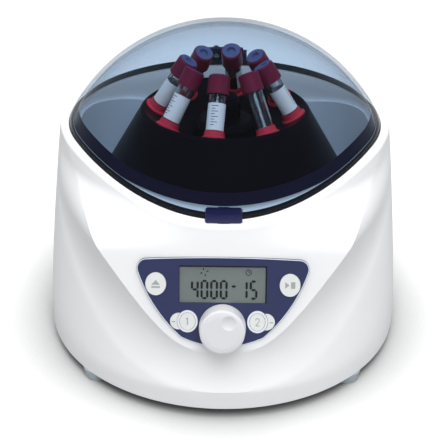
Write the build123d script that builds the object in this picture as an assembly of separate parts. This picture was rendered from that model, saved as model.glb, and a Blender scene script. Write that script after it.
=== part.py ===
from build123d import *
import math
import os

# Low-speed centrifuge: oval moulded body, tinted dome lid hinged at the rear, fixed-angle rotor
# for eight sample tubes on a direct-drive motor, and a control face leaning back at the front.
# Millimetres, +Z up, front towards -Y, origin on the table under the middle of the whole outline.

# Body
BODY_WIDTH = 275.0
BODY_DEPTH = 302.0
BODY_CENTRE_Y = 3.2
TOP_WIDTH = 253.0
WIDTH_CURVE = 1.3
FOOT_HEIGHT = 8.0
CREST_Z = 22.0
RIM_Z = 161.0
RIM_LEVEL_BACK = 45.0
RIM_DIP_RADIUS = 171.0
FACE_LEAN = 18.4
FACE_RADIUS = 900.0
WALL = 3.2
FRONT_WALL = 7.0
SECTION_POINTS = 32
HULL_HEIGHTS = (17, 22, 28, 35, 42, 50, 60, 72, 86, 100, 114, 128, 142, 156, 172)

# White face shield and the hollow flank around it
SHIELD_FOOT_Z = 50.3
SHIELD_SPREAD = 40.0
SHIELD_ROUNDNESS = 3.5
SHIELD_RISE = 1.38
CREST_RISE = 77.5
CREST_REACH = 122.3
CREST_POWER = 3.0
FLANK_POWER = 2.4
FLANK_HOLLOW = 3.5
SHIELD_BLEND_Z = 117.0
SHIELD_BLEND_HEIGHT = 30.0

# Chamber
ROTOR_BACK = 21.0
CHAMBER_RADIUS = 114.0
FUNNEL_WALL = 4.0
FUNNEL_FOOT_Z = 100.0
BOWL_WALL = 2.7
BOWL_FLOOR_Z = 86.0
BOWL_FLOOR = 2.0
BOWL_FLANGE = 7.0
BOWL_LIP = 2.5
BOWL_SCREW_RADIUS = 1.0
BOWL_CROWN_Z = 158.0
BOWL_DIP_RADIUS = 208.0
BOWL_CORNER = 9.0
NECK_HOLE_RADIUS = 18.0
NECK_HOLE_COLLAR = 8.0

# Lid
DOME_RADIUS = 135.8
DOME_TOP_Z = 232.5
DOME_WALL = 3.0
SEAL_HEIGHT = 1.2
LID_GAP = 0.3
TAB_WIDTH = 25.0
TAB_HEIGHT = 2.34
TAB_PROUD = 1.6
TAB_BEHIND = 2.66
NOTCH_GAP = 0.6
HOOK_THICK = 4.0
HOOK_DEPTH = 7.5
HOOK_LENGTH = 19.65
BOLT_RADIUS = 1.9
BOLT_DROP = 13.35
BOLT_TRAVEL = 6.0
LOCK_LENGTH = 34.0
LOCK_DEPTH = 11.0
LOCK_DROP = 6.65
LOCK_HEIGHT = 13.0
LOCK_GAP = 0.4
LOCK_START = 8.0
LOCK_BEHIND = 6.0

# Hinge
HINGE_BACK = 125.5
HINGE_Z = 166.0
HINGE_PIN_RADIUS = 2.0
HINGE_BARREL_RADIUS = 4.2
HINGE_LEAF_WIDTH = 29.4
HINGE_EAR = 3.0
HINGE_PLATE = 1.5
HINGE_LEAF = 3.5
LEAF_RISE = 15.0
LEAF_HOLE_RADIUS = 1.2
LEAF_NUT = 1.5
LEAF_SEAT = 0.03
SCREW_RADIUS = 1.5
SCREW_HEAD = 1.8

# Rotor and its load
TUBE_COUNT = 8
FIRST_TUBE_ANGLE = -98.6
TUBE_TILT = 32.5
FLANGE_RING_RADIUS = 52.5
FLANGE_Z = 165.5
TUBE_RADIUS = 6.5
TUBE_WALL = 1.0
TUBE_ABOVE = 42.0
TUBE_BELOW = 33.0
SLEEVE_WALL = 0.8
SLEEVE_GAP = 0.15
SLEEVE_FLANGE_RADIUS = 9.75
SLEEVE_FLANGE = 2.0
SLEEVE_COLLAR = 4.0
CAP_RADIUS = 8.25
CAP_LENGTH = 14.0
STOPPER_RADIUS = 6.9
STOPPER_DIMPLE = 2.6
BELL_APEX_Z = 275.7
BELL_SLOPE = 0.592
BELL_FOOT_Z = 106.0
BELL_WALL = 4.0
HUB_RADIUS = 10.0
HUB_COLUMN_RADIUS = 24.0
HUB_SEAT_Z = 112.0
HUB_TOP_Z = 160.0
HUB_FLANGE_RADIUS = 20.0
NUT_RADIUS = 12.0
NUT_HEIGHT = 18.0

# Motor
MOTOR_RADIUS = 40.0
MOTOR_FOOT_Z = 25.0
MOTOR_TOP_Z = 80.0
MOTOR_SHELL = 3.0
MOTOR_NECK_RADIUS = 14.0
MOTOR_NECK_Z = 98.0
SHAFT_RADIUS = 4.0
RUNNING_GAP = 0.05
BEARING_RADIUS = 11.0
BEARING_WIDTH = 7.0
STATOR_INNER_RADIUS = 27.5
ARMATURE_RADIUS = 27.0
MOTOR_PLATE = 3.0
MOTOR_PLATE_SIZE = 104.0
DAMPER_SPACING = 84.0
DAMPER_RADIUS = 8.0

# Base
TRAY = 2.5
TRAY_LIP = 6.0
TRAY_GAP = 0.3
FOOT_RADIUS = 11.0
FOOT_X = 93.0
FOOT_Y = 97.0
BOSS_X = 104.0
BOSS_Y = 74.0
BOSS_RADIUS = 6.0
BOSS_TOP_Z = 44.0
BOARD_SEAT_Z = 17.0
SUPPLY_HALF_WIDTH = 62.0
SUPPLY_LOW_Y = 78.0
SUPPLY_HIGH_Y = 118.0

# Control face: places are measured up the leaning face from its reference height
FACE_REF_Z = 85.0
PANEL_THICK = 2.2
PANEL_PROUD = 0.6
PANEL_GAP = 0.3
PANEL_TOP = 31.5
PANEL_FOOT = -32.9
PANEL_TOP_HALF = 62.0
PANEL_TOP_SIDE = 29.6
PANEL_FOOT_HALF = 29.0
PANEL_FOOT_SIDE = -26.2
PANEL_SIDE_BULGE = 5.0
PANEL_CORNER = 7.0
PANEL_SHELF = 0.6
BAY_DEPTH = 24.0
WINDOW_WIDTH = 61.0
WINDOW_HEIGHT = 26.6
WINDOW_UP = 12.0
WINDOW_THICK = 1.4
LCD_WIDTH = 66.0
LCD_HEIGHT = 31.0
LCD_THICK = 5.0
BOARD_DEPTH = 13.0
BOARD_THICK = 1.6
KEY_WIDTH = 14.8
KEY_HEIGHT = 16.6
KEY_GAP = 0.25
KEY_PROUD = 1.0
KEY_FLANGE = 1.1
KEY_LIP = 0.4
KEY_BACK_GAP = 0.05
SPACER_RADIUS = 2.0
KEY_TRAVEL = 0.8
KEY_STEM_RADIUS = 1.6
SWITCH_SIZE = 6.0
SWITCH_HEIGHT = 4.0
SIDE_KEY_X = 46.6
SIDE_KEY_UP = 12.2
NUMBER_KEY_X = 24.4
NUMBER_KEY_UP = -14.3
NUMBER_KEY_WIDTH = 11.2
NUMBER_KEY_HEIGHT = 12.8
BEZEL_WIDTH = 1.5
PILL_REACH = 12.4
PILL_HEIGHT = 12.2
PILL_STEM_INSET = 5.0
KNOB_RADIUS = 16.4
KNOB_UP = -18.1
KNOB_GAP = 1.0
KNOB_HEIGHT = 17.0
KNOB_DIMPLE = 5.2
ENCODER_SIZE = 12.0
ENCODER_SHAFT_RADIUS = 3.0

# Rear services
RECESS_WIDTH = 84.0
RECESS_LOW_Z = 20.0
RECESS_HIGH_Z = 58.0
RECESS_DEPTH = 7.0
RECESS_WALL = 4.0
SERVICE_Z = 39.0
INLET_X = -19.0
INLET_WIDTH = 27.4
INLET_HEIGHT = 20.0
INLET_DEPTH = 24.0
INLET_FLANGE = 2.5
ROCKER_X = 22.0
ROCKER_WIDTH = 12.0
ROCKER_HEIGHT = 18.0
ROCKER_TILT = 8.0
VENT_COUNT = 11
VENT_PITCH = 8.0
VENT_WIDTH = 3.0
VENT_LOW_Z = 76.0
VENT_HIGH_Z = 112.0

FRONT_Y = BODY_CENTRE_Y - BODY_DEPTH / 2
BACK_Y = BODY_CENTRE_Y + BODY_DEPTH / 2
ROTOR_Y = BODY_CENTRE_Y + ROTOR_BACK
LEAN_SLOPE = math.tan(math.radians(FACE_LEAN))
DOME_CENTRE_Z = DOME_TOP_Z - DOME_RADIUS
RIM_LEVEL_Y = ROTOR_Y - RIM_LEVEL_BACK
HOUSING_DROP = SEAL_HEIGHT + LID_GAP
REACH = 400.0


def block(x0, x1, y0, y1, z0, z1):
    middle = Pos((x0 + x1) / 2, (y0 + y1) / 2, (z0 + z1) / 2)
    return middle * Box(abs(x1 - x0), abs(y1 - y0), abs(z1 - z0))


def rod(radius, z0, z1, x=0.0, y=0.0):
    return Pos(x, y, (z0 + z1) / 2) * Cylinder(radius, abs(z1 - z0))


def spun(points):
    """Solid of revolution about the rotor axis from (radius, height) corners."""
    outline = make_face(Polyline(*[(r, 0, z) for r, z in points], close=True))
    return Pos(0, ROTOR_Y, 0) * revolve(outline, Axis.Z)


def smooth_step(value):
    value = min(max(value, 0.0), 1.0)
    return value * value * (3 - 2 * value)


def half_width(z):
    share = max(z - CREST_Z, 0.0) / (RIM_Z - CREST_Z)
    return BODY_WIDTH / 2 - (BODY_WIDTH - TOP_WIDTH) / 2 * share ** WIDTH_CURVE


def front_y(z):
    return FRONT_Y + LEAN_SLOPE * max(z - CREST_Z, 0.0)


def shield_edge_z(x):
    spread = (abs(x) ** SHIELD_ROUNDNESS + SHIELD_SPREAD ** SHIELD_ROUNDNESS) ** (1 / SHIELD_ROUNDNESS)
    return SHIELD_FOOT_Z + SHIELD_RISE * (spread - SHIELD_SPREAD)


def crest_z(x):
    return CREST_Z + CREST_RISE * (abs(x) / CREST_REACH) ** CREST_POWER


def flank_shift(x, y, z, facing):
    """How far the face shield and the hollow flank move a point of the plain oval along Y."""
    shield_y = front_y(z) + x * x / (2 * FACE_RADIUS)
    across = (shield_edge_z(x) - z) / (shield_edge_z(x) - crest_z(x))
    across = min(max(across, 0.0), 1.0)
    proud = (shield_y - y) * (1 - smooth_step((z - SHIELD_BLEND_Z) / SHIELD_BLEND_HEIGHT))
    hollow = 4 * FLANK_HOLLOW * across * (1 - across)
    return (proud * (1 - across) ** FLANK_POWER + hollow) * smooth_step(facing / 0.35)


def oval(z, inset=0.0, front_inset=0.0, shaped=False):
    """Closed horizontal outline of the body at height z."""
    low_y = front_y(z) + front_inset
    high_y = BACK_Y - inset
    across = half_width(z) - inset
    if not shaped:
        return Pos(0, (low_y + high_y) / 2, z) * Ellipse(across, (high_y - low_y) / 2)
    points = []
    for step in range(SECTION_POINTS):
        turn = 2 * math.pi * (step + 0.5) / SECTION_POINTS
        x = across * math.sin(turn)
        y = (low_y + high_y) / 2 - (high_y - low_y) / 2 * math.cos(turn)
        if math.cos(turn) > 0:
            y += flank_shift(x, y, z, math.cos(turn))
        points.append((x, y, z))
    return make_face(Spline(*points, periodic=True))


def hull():
    """Outer body form, before its rim and openings are cut."""
    return loft([oval(z, shaped=True) for z in (FOOT_HEIGHT, *HULL_HEIGHTS)])


def inner_hull():
    """Hollow inside the body walls."""
    heights = (FOOT_HEIGHT - 1, CREST_Z, 60, 100, 140, HULL_HEIGHTS[-1])
    return loft([oval(z, inset=WALL, front_inset=FRONT_WALL) for z in heights])


def above_rim(drop=0.0):
    """Everything above the rim line, which is level and dips in an arc towards the front."""
    radius = RIM_DIP_RADIUS - drop
    centre_z = RIM_Z - RIM_DIP_RADIUS
    sweep = math.radians(64)
    low = (RIM_LEVEL_Y - radius * math.sin(sweep), centre_z + radius * math.cos(sweep))
    middle = (RIM_LEVEL_Y - radius * math.sin(sweep / 2), centre_z + radius * math.cos(sweep / 2))
    start = (RIM_LEVEL_Y, centre_z + radius)
    corners = [low, (low[0], REACH), (REACH, REACH), (REACH, start[1]), start]
    edges = Polyline(*[(0, y, z) for y, z in corners])
    edges += ThreePointArc((0, *start), (0, *middle), (0, *low))
    return extrude(make_face(edges), amount=REACH / 2, dir=(1, 0, 0), both=True)


def above_bowl():
    """Everything above the bowl's edge, an arch that is high at the sides."""
    radius = BOWL_DIP_RADIUS
    arch = Pos(0, ROTOR_Y, BOWL_CROWN_Z - radius) * Rot(0, 90, 0) * Cylinder(radius, REACH)
    return block(-REACH / 2, REACH / 2, -REACH, REACH, 0, REACH) - arch


def dome_ball(inset=0.0):
    return Pos(0, ROTOR_Y, DOME_CENTRE_Z) * Sphere(DOME_RADIUS - inset)


def face_plane():
    """Plane of the leaning face: local X to the right, local Y up the slope, local Z out."""
    lean = math.radians(FACE_LEAN)
    normal = (0, -math.cos(lean), math.sin(lean))
    return Plane(origin=(0, front_y(FACE_REF_Z), FACE_REF_Z), x_dir=(1, 0, 0), z_dir=normal)


def on_face(shape):
    return face_plane().location * shape


def face_block(width, height, low, high, x=0.0, up=0.0):
    return on_face(block(x - width / 2, x + width / 2, up - height / 2, up + height / 2, low, high))


def face_rod(radius, low, high, x=0.0, up=0.0):
    return on_face(rod(radius, low, high, x, up))


def face_oval(width, height, low, high, x=0.0, up=0.0):
    shape = extrude(Ellipse(width / 2, height / 2), amount=high - low)
    return on_face(Pos(x, up, low) * shape)


def face_pill(reach, height, low, high, x=0.0, up=0.0, side=1):
    """Pill with a flat start at x that reaches outwards to a round end."""
    length = reach - height / 2
    pill = block(0, side * length, -height / 2, height / 2, low, high)
    pill += rod(height / 2, low, high, side * length)
    return on_face(Pos(x, up, 0) * pill)


def mitred(corner, normal_1, normal_2, grow):
    """Corner of an outline moved out by grow from both of its edges."""
    share = grow / (1 + normal_1[0] * normal_2[0] + normal_1[1] * normal_2[1])
    return (corner[0] + share * (normal_1[0] + normal_2[0]), corner[1] + share * (normal_1[1] + normal_2[1]))


def panel_outline(grow=0.0):
    """Half-moon outline of the control panel: nearly straight top, full sides, round foot."""
    top = (PANEL_TOP_HALF, PANEL_TOP_SIDE)
    foot = (PANEL_FOOT_HALF, PANEL_FOOT_SIDE)
    run = math.dist(top, foot)
    out = ((top[1] - foot[1]) / run, -(top[0] - foot[0]) / run)
    turn = 2 * math.atan2(PANEL_FOOT_SIDE - PANEL_FOOT, PANEL_FOOT_HALF)
    top = mitred(top, (0, 1), out, grow)
    foot = mitred(foot, (math.sin(turn), -math.cos(turn)), out, grow)
    middle = ((top[0] + foot[0]) / 2, (top[1] + foot[1]) / 2)
    side = (middle[0] + out[0] * PANEL_SIDE_BULGE, middle[1] + out[1] * PANEL_SIDE_BULGE)
    edges = ThreePointArc((-top[0], top[1]), (0, PANEL_TOP + grow), top)
    edges += ThreePointArc(top, side, foot)
    edges += ThreePointArc(foot, (0, PANEL_FOOT - grow), (-foot[0], foot[1]))
    edges += ThreePointArc((-foot[0], foot[1]), (-side[0], side[1]), (-top[0], top[1]))
    face = make_face(edges)
    return fillet(face.vertices().sort_by(Axis.Y)[2:], PANEL_CORNER + grow)


def panel_slab(low, high, grow=0.0):
    return on_face(Pos(0, 0, low) * extrude(panel_outline(grow), amount=high - low))


def tray_positions():
    return [(sx * BOSS_X, BODY_CENTRE_Y + sy * BOSS_Y) for sx in (-1, 1) for sy in (-1, 1)]


def foot_positions():
    return [(sx * FOOT_X, BODY_CENTRE_Y + sy * FOOT_Y) for sx in (-1, 1) for sy in (-1, 1)]


def damper_positions():
    half = DAMPER_SPACING / 2
    return [(sx * half, ROTOR_Y + sy * half) for sx in (-1, 1) for sy in (-1, 1)]


def rim_arc_z(y):
    """Height of the rim line at one distance forward."""
    ahead = min(max(RIM_LEVEL_Y - y, 0), RIM_DIP_RADIUS)
    return RIM_Z - RIM_DIP_RADIUS + math.sqrt(RIM_DIP_RADIUS ** 2 - ahead ** 2)


def dome_front_y():
    """Front of the dome's edge, where its ball meets the rim's arc."""
    y = ROTOR_Y - DOME_RADIUS
    for step in range(30):
        y = ROTOR_Y - math.sqrt(DOME_RADIUS ** 2 - (rim_arc_z(y) - DOME_CENTRE_Z) ** 2)
    return y


def tab_front_y():
    """Front of the lid's tab, a little proud of the dome's edge above it."""
    return round(dome_front_y() - TAB_PROUD, 2)


def tab_floor_z():
    """Underside of the lid's tab."""
    return round(rim_arc_z(tab_front_y()) - TAB_HEIGHT, 2)


def tab_back_y():
    """Back of the lid's tab, a little behind the middle of the hook that hangs from it."""
    return lock_centre_y() + TAB_BEHIND


def hook_foot_z():
    return tab_floor_z() - HOOK_LENGTH


def bolt_z():
    return tab_floor_z() - BOLT_DROP


def lock_seat_z():
    return tab_floor_z() - LOCK_DROP


def lock_centre_y():
    return ROTOR_Y - CHAMBER_RADIUS - FUNNEL_WALL - LOCK_DEPTH / 2 - LOCK_GAP


def housing():
    """Moulded upper shell with the rim, the chamber funnel, the face and the rear services."""
    hollow = inner_hull() - above_rim(HOUSING_DROP + WALL)
    hollow -= rod(CHAMBER_RADIUS + FUNNEL_WALL, FUNNEL_FOOT_Z, REACH, 0, ROTOR_Y)
    hollow -= lock_shelf()
    hollow -= recess(RECESS_WALL)
    for x, y in tray_positions():
        post = rod(BOSS_RADIUS, FOOT_HEIGHT + TRAY, BOSS_TOP_Z, x, y)
        end = math.copysign(REACH, x)
        hollow -= post + block(x, end, y - WALL / 2, y + WALL / 2, FOOT_HEIGHT + TRAY, BOSS_TOP_Z)
    shell = hull() - above_rim(HOUSING_DROP) - hollow

    cuts = [rod(CHAMBER_RADIUS, 0, REACH, 0, ROTOR_Y),
            panel_slab(PANEL_PROUD - PANEL_THICK, KNOB_HEIGHT, PANEL_GAP),
            panel_slab(-BAY_DEPTH, 0, -PANEL_SHELF), tab_notch(), lock_pocket(),
            recess(), inlet_opening(0.2), rocker_opening(0.2)]
    for x, y in tray_positions():
        cuts.append(rod(SCREW_RADIUS, 0, BOSS_TOP_Z - 6, x, y))
    for x, y in bowl_screw_places():
        cuts.append(rod(BOWL_SCREW_RADIUS, FUNNEL_FOOT_Z - 1, FUNNEL_FOOT_Z + 9, x, y))
    for x in hinge_screw_x():
        cuts.append(rod(SCREW_RADIUS, HINGE_Z - 20, HINGE_Z, x, hinge_axis_y()))
    for index in range(VENT_COUNT):
        x = (index - (VENT_COUNT - 1) / 2) * VENT_PITCH
        half = VENT_WIDTH / 2
        cuts.append(block(x - half, x + half, BACK_Y - 3 * WALL, REACH, VENT_LOW_Z, VENT_HIGH_Z))
    return shell - cuts


def recess(wall=0.0):
    """Flat-backed recess of the rear services, or the walls round it."""
    half = RECESS_WIDTH / 2 + wall
    return block(-half, half, BACK_Y - RECESS_DEPTH - wall, REACH, RECESS_LOW_Z - wall, RECESS_HIGH_Z + wall)


def lock_shelf():
    """Solid stretch under the front rim that the lid lock is screwed to."""
    y = lock_centre_y()
    end = HOOK_THICK + LOCK_LENGTH + 8
    shelf = block(-16, end, y - LOCK_DEPTH, y + LOCK_DEPTH, lock_seat_z(), REACH)
    return shelf - rod(CHAMBER_RADIUS, 0, REACH, 0, ROTOR_Y)


def lock_pocket():
    """Room for the lock in the thick front wall."""
    y = lock_centre_y()
    half = LOCK_DEPTH / 2 + LOCK_GAP
    end = LOCK_START + LOCK_LENGTH + LOCK_BEHIND
    low = lock_seat_z() - LOCK_HEIGHT - 3
    return block(LOCK_START - LOCK_GAP, end, y - half, y + half, low, lock_seat_z())


def tab_notch():
    """Room in the rim for the lid's tab, and the slot that its hook drops through."""
    lock_y = lock_centre_y()
    half = TAB_WIDTH / 2 + NOTCH_GAP
    notch = block(-half, half, -REACH, tab_back_y() + NOTCH_GAP, tab_floor_z() - 0.3, REACH)
    slot = block(-HOOK_THICK, HOOK_THICK, lock_y - HOOK_DEPTH / 2 - 3.5, lock_y + HOOK_DEPTH / 2 + 1,
                 hook_foot_z() - 4, REACH)
    return notch + slot


def tray_space():
    """Flat underside left open for the base tray."""
    return extrude(oval(FOOT_HEIGHT, WALL, FRONT_WALL), amount=TRAY)


def inlet_opening(gap=0.0):
    half = INLET_WIDTH / 2 + gap
    tall = INLET_HEIGHT / 2 + gap
    back = BACK_Y - RECESS_DEPTH
    return block(INLET_X - half, INLET_X + half, back - 12, back, SERVICE_Z - tall, SERVICE_Z + tall)


def rocker_opening(gap=0.0):
    half = ROCKER_WIDTH / 2 + 1.5 + gap
    tall = ROCKER_HEIGHT / 2 + 1.5 + gap
    back = BACK_Y - RECESS_DEPTH
    return block(ROCKER_X - half, ROCKER_X + half, back - 12, back, SERVICE_Z - tall, SERVICE_Z + tall)


def base_tray():
    """Steel floor with a turned-up lip and short pillars for the supply board."""
    floor = extrude(oval(FOOT_HEIGHT, WALL + TRAY_GAP, FRONT_WALL + TRAY_GAP), amount=TRAY)
    lip = extrude(oval(FOOT_HEIGHT, WALL + TRAY_GAP + 1, FRONT_WALL + TRAY_GAP + 1), amount=TRAY_LIP)
    lip -= extrude(oval(FOOT_HEIGHT, WALL + TRAY_GAP + 3, FRONT_WALL + TRAY_GAP + 3), amount=TRAY_LIP)
    tray = floor + lip
    for x, y in tray_positions():
        tray -= rod(BOSS_RADIUS + 1, FOOT_HEIGHT + TRAY, FOOT_HEIGHT + TRAY_LIP, x, y)
        tray -= Pos(x, y, 0) * block(0, math.copysign(40, x), -WALL, WALL, FOOT_HEIGHT + TRAY, REACH)
        tray -= rod(SCREW_RADIUS + 0.4, 0, REACH, x, y)
    for x, y in foot_positions() + damper_positions():
        tray -= rod(SCREW_RADIUS, 0, REACH, x, y)
    for x, y in board_posts():
        tray += rod(3.0, FOOT_HEIGHT + TRAY, BOARD_SEAT_Z, x, y)
    return tray


def board_posts():
    half = SUPPLY_HALF_WIDTH - 5
    return [(x, y) for x in (-half, half) for y in (SUPPLY_LOW_Y + 5, SUPPLY_HIGH_Y - 5)]


def screw(x, y, head_z, tip_z, radius=SCREW_RADIUS):
    """Pan-head screw standing on its head, with a driver slot."""
    lift = math.copysign(SCREW_HEAD, tip_z - head_z)
    head = rod(radius * 1.9, head_z, head_z + lift, x, y)
    head -= block(x - radius * 1.5, x + radius * 1.5, y - 0.35, y + 0.35, head_z - 0.6, head_z + 0.6)
    return head + rod(radius - 0.02, head_z, tip_z, x, y)


def rubber_feet():
    feet = []
    for x, y in foot_positions():
        foot = Pos(x, y, 0) * Cone(FOOT_RADIUS - 1.2, FOOT_RADIUS, FOOT_HEIGHT,
                                   align=(Align.CENTER, Align.CENTER, Align.MIN))
        foot -= rod(SCREW_RADIUS * 1.9 + 0.3, 0, 4.5, x, y)
        foot -= rod(SCREW_RADIUS, 4.5, FOOT_HEIGHT, x, y)
        feet.append(foot)
    return Compound(feet)


def foot_screws():
    return Compound([screw(x, y, 2.7, FOOT_HEIGHT + TRAY + 4) for x, y in foot_positions()])


def body_screws():
    return Compound([screw(x, y, FOOT_HEIGHT - SCREW_HEAD, BOSS_TOP_Z - 8) for x, y in tray_positions()])


def chamber_bowl():
    """Liner of the rotor chamber: dished floor, round corner and a wall with an arched edge."""
    outer = CHAMBER_RADIUS - LID_GAP
    inner = outer - BOWL_WALL
    floor_top = BOWL_FLOOR_Z + BOWL_FLOOR
    outside = rod(outer, BOWL_FLOOR_Z, RIM_Z, 0, ROTOR_Y)
    outside = fillet(outside.edges().group_by(Axis.Z)[0], BOWL_CORNER + BOWL_FLOOR)
    hollow = rod(inner, floor_top, RIM_Z + 1, 0, ROTOR_Y)
    hollow = fillet(hollow.edges().group_by(Axis.Z)[0], BOWL_CORNER)
    bowl = outside - hollow
    ring = rod(outer + BOWL_FLANGE, FUNNEL_FOOT_Z - BOWL_LIP, FUNNEL_FOOT_Z, 0, ROTOR_Y)
    bowl += ring - rod(outer - 1, 0, REACH, 0, ROTOR_Y)
    bowl += rod(NECK_HOLE_RADIUS + BOWL_FLOOR, BOWL_FLOOR_Z, BOWL_FLOOR_Z + NECK_HOLE_COLLAR, 0, ROTOR_Y)
    bowl -= rod(NECK_HOLE_RADIUS, 0, REACH, 0, ROTOR_Y)
    for x, y in bowl_screw_places():
        bowl -= rod(BOWL_SCREW_RADIUS, 0, FUNNEL_FOOT_Z, x, y)
    return bowl - above_bowl()


def bowl_screw_places():
    radius = CHAMBER_RADIUS + FUNNEL_WALL / 2
    turns = [math.radians(a) for a in (20, 90, 160, 200, 340)]
    return [(radius * math.cos(t), ROTOR_Y + radius * math.sin(t)) for t in turns]


def bowl_screws():
    head = FUNNEL_FOOT_Z - BOWL_LIP - SCREW_HEAD
    tip = FUNNEL_FOOT_Z + 8
    return Compound([screw(x, y, head, tip, BOWL_SCREW_RADIUS) for x, y in bowl_screw_places()])


def bowl_seal():
    """Rubber ring that closes the bowl's centre hole against the motor neck."""
    low = BOWL_FLOOR_Z
    mid = BOWL_FLOOR_Z + NECK_HOLE_COLLAR / 2
    top = BOWL_FLOOR_Z + NECK_HOLE_COLLAR
    return spun([(NECK_HOLE_RADIUS, low), (NECK_HOLE_RADIUS, top), (NECK_HOLE_RADIUS - 1.2, top),
                 (NECK_HOLE_RADIUS - 1.6, mid + 1), (MOTOR_NECK_RADIUS, mid + 1), (MOTOR_NECK_RADIUS, mid - 1),
                 (NECK_HOLE_RADIUS - 1.6, mid - 1), (NECK_HOLE_RADIUS - 1.2, low)])


def lid_dome():
    """Tinted dome, a cap of a ball cut along the rim line."""
    dome = (dome_ball() - dome_ball(DOME_WALL)) & above_rim()
    for hole in leaf_screw_holes():
        dome -= hole
    return dome


def lid_seal():
    """Black rubber strip under the dome's edge, open where the tab sits."""
    strip = (dome_ball(0.2) - dome_ball(DOME_WALL - 0.2)) & above_rim(SEAL_HEIGHT)
    strip -= above_rim()
    half = TAB_WIDTH / 2 + 0.2
    return strip - block(-half, half, -REACH, 0, 0, REACH)


def latch_tab():
    """Finger tab under the front of the dome, sitting in the notch of the rim."""
    front = tab_front_y()
    tab = block(-TAB_WIDTH / 2, TAB_WIDTH / 2, front, tab_back_y(), tab_floor_z(), RIM_Z)
    tab = fillet(tab.edges().filter_by(Axis.Z), 1.5)
    return tab - above_rim()


def latch_hook():
    """Steel striker that hangs from the tab, with a window for the lock bolt."""
    y = lock_centre_y()
    half, deep = HOOK_THICK / 2, HOOK_DEPTH / 2
    hook = block(-half, half, y - deep, y + deep, hook_foot_z(), tab_floor_z())
    bite = BOLT_RADIUS + 0.5
    return hook - block(-REACH, REACH, y - bite, y + bite, bolt_z() - bite, bolt_z() + bite)


def lock_body():
    """Solenoid of the lid lock, screwed up against the shelf under the rim."""
    y = lock_centre_y()
    half = LOCK_DEPTH / 2
    low, high = lock_seat_z() - LOCK_HEIGHT, lock_seat_z()
    body = block(LOCK_START, LOCK_START + LOCK_LENGTH, y - half, y + half, low, high)
    middle = Pos(LOCK_START + LOCK_LENGTH / 2, y, bolt_z()) * Rot(0, 90, 0)
    return body - middle * Cylinder(BOLT_RADIUS + RUNNING_GAP, LOCK_LENGTH + 2)


def lock_bolt():
    """Sprung bolt of the solenoid, drawn back while the lid is free."""
    y = lock_centre_y()
    start = LOCK_START - 3
    length = LOCK_LENGTH + LOCK_BEHIND + 1
    return Pos(start + length / 2, y, bolt_z()) * Rot(0, 90, 0) * Cylinder(BOLT_RADIUS, length)


def hinge_axis_y():
    return ROTOR_Y + HINGE_BACK


def hinge_screw_x():
    edge = HINGE_LEAF_WIDTH / 2 + HINGE_EAR + 4
    return [-edge, edge]


def across(radius, x0, x1):
    """Round bar along X on the hinge axis."""
    return Pos((x0 + x1) / 2, hinge_axis_y(), HINGE_Z) * Rot(0, 90, 0) * Cylinder(radius, x1 - x0)


def hinge_bracket():
    """Fixed half of the hinge: a plate on the rear rim with two ears."""
    seat = RIM_Z - HOUSING_DROP
    y = hinge_axis_y()
    inner = HINGE_LEAF_WIDTH / 2 + 0.3
    outer = inner + HINGE_EAR
    plate = block(-outer - 8, outer + 8, y - 4.5, y + 4.2, seat, seat + HINGE_PLATE)
    bracket = plate
    for x0, x1 in ((-outer, -inner), (inner, outer)):
        bracket += block(x0, x1, y - 4.2, y + 4.2, seat, HINGE_Z)
        bracket += across(HINGE_BARREL_RADIUS, x0, x1)
    for x in hinge_screw_x():
        bracket -= rod(SCREW_RADIUS, 0, REACH, x, y)
    return bracket - across(HINGE_PIN_RADIUS, -REACH, REACH)


def hinge_pin():
    reach = HINGE_LEAF_WIDTH / 2 + 0.3 + HINGE_EAR
    return across(HINGE_PIN_RADIUS, -reach, reach)


def hinge_leaf():
    """Moving half of the hinge, moulded to the dome and wrapped round the pin."""
    half = HINGE_LEAF_WIDTH / 2
    y = hinge_axis_y()
    low = RIM_Z + 0.8
    pad = block(-half, half, ROTOR_Y, y, low, low + LEAF_RISE) & dome_ball(-HINGE_LEAF)
    web = block(-half, half, y - 14, y, low, HINGE_Z + HINGE_BARREL_RADIUS)
    leaf = pad + web + across(HINGE_BARREL_RADIUS, -half, half)
    leaf = leaf - dome_ball() - across(HINGE_PIN_RADIUS + RUNNING_GAP, -REACH, REACH)
    for hole in leaf_screw_holes():
        leaf -= hole
    return leaf


def leaf_screw_axes():
    """Each leaf screw points from the dome's centre out through the leaf."""
    rise = math.degrees(math.asin((RIM_Z + 12 - DOME_CENTRE_Z) / DOME_RADIUS))
    centre = Pos(0, ROTOR_Y, DOME_CENTRE_Z)
    return [centre * Rot(0, 0, 90 + turn) * Rot(0, 90 - rise, 0) for turn in (-4, 4)]


def leaf_screw_holes():
    return [axis * Pos(0, 0, DOME_RADIUS) * Cylinder(LEAF_HOLE_RADIUS, 14) for axis in leaf_screw_axes()]


def leaf_screws():
    screws = []
    for axis in leaf_screw_axes():
        low = DOME_RADIUS - DOME_WALL - LEAF_NUT
        high = DOME_RADIUS + HINGE_LEAF + LEAF_SEAT
        fixing = rod(LEAF_HOLE_RADIUS * 2, high, high + LEAF_NUT) + rod(LEAF_HOLE_RADIUS - 0.02, low, high)
        screws.append(axis * (fixing + rod(LEAF_HOLE_RADIUS * 2, low, low + LEAF_NUT - LEAF_SEAT)))
    return Compound(screws)


def hinge_screws():
    seat = RIM_Z - HOUSING_DROP + HINGE_PLATE
    y = hinge_axis_y()
    return Compound([screw(x, y, seat + SCREW_HEAD, seat - 9) for x in hinge_screw_x()])


def bell_radius(z):
    return BELL_SLOPE * (BELL_APEX_Z - z)


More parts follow.
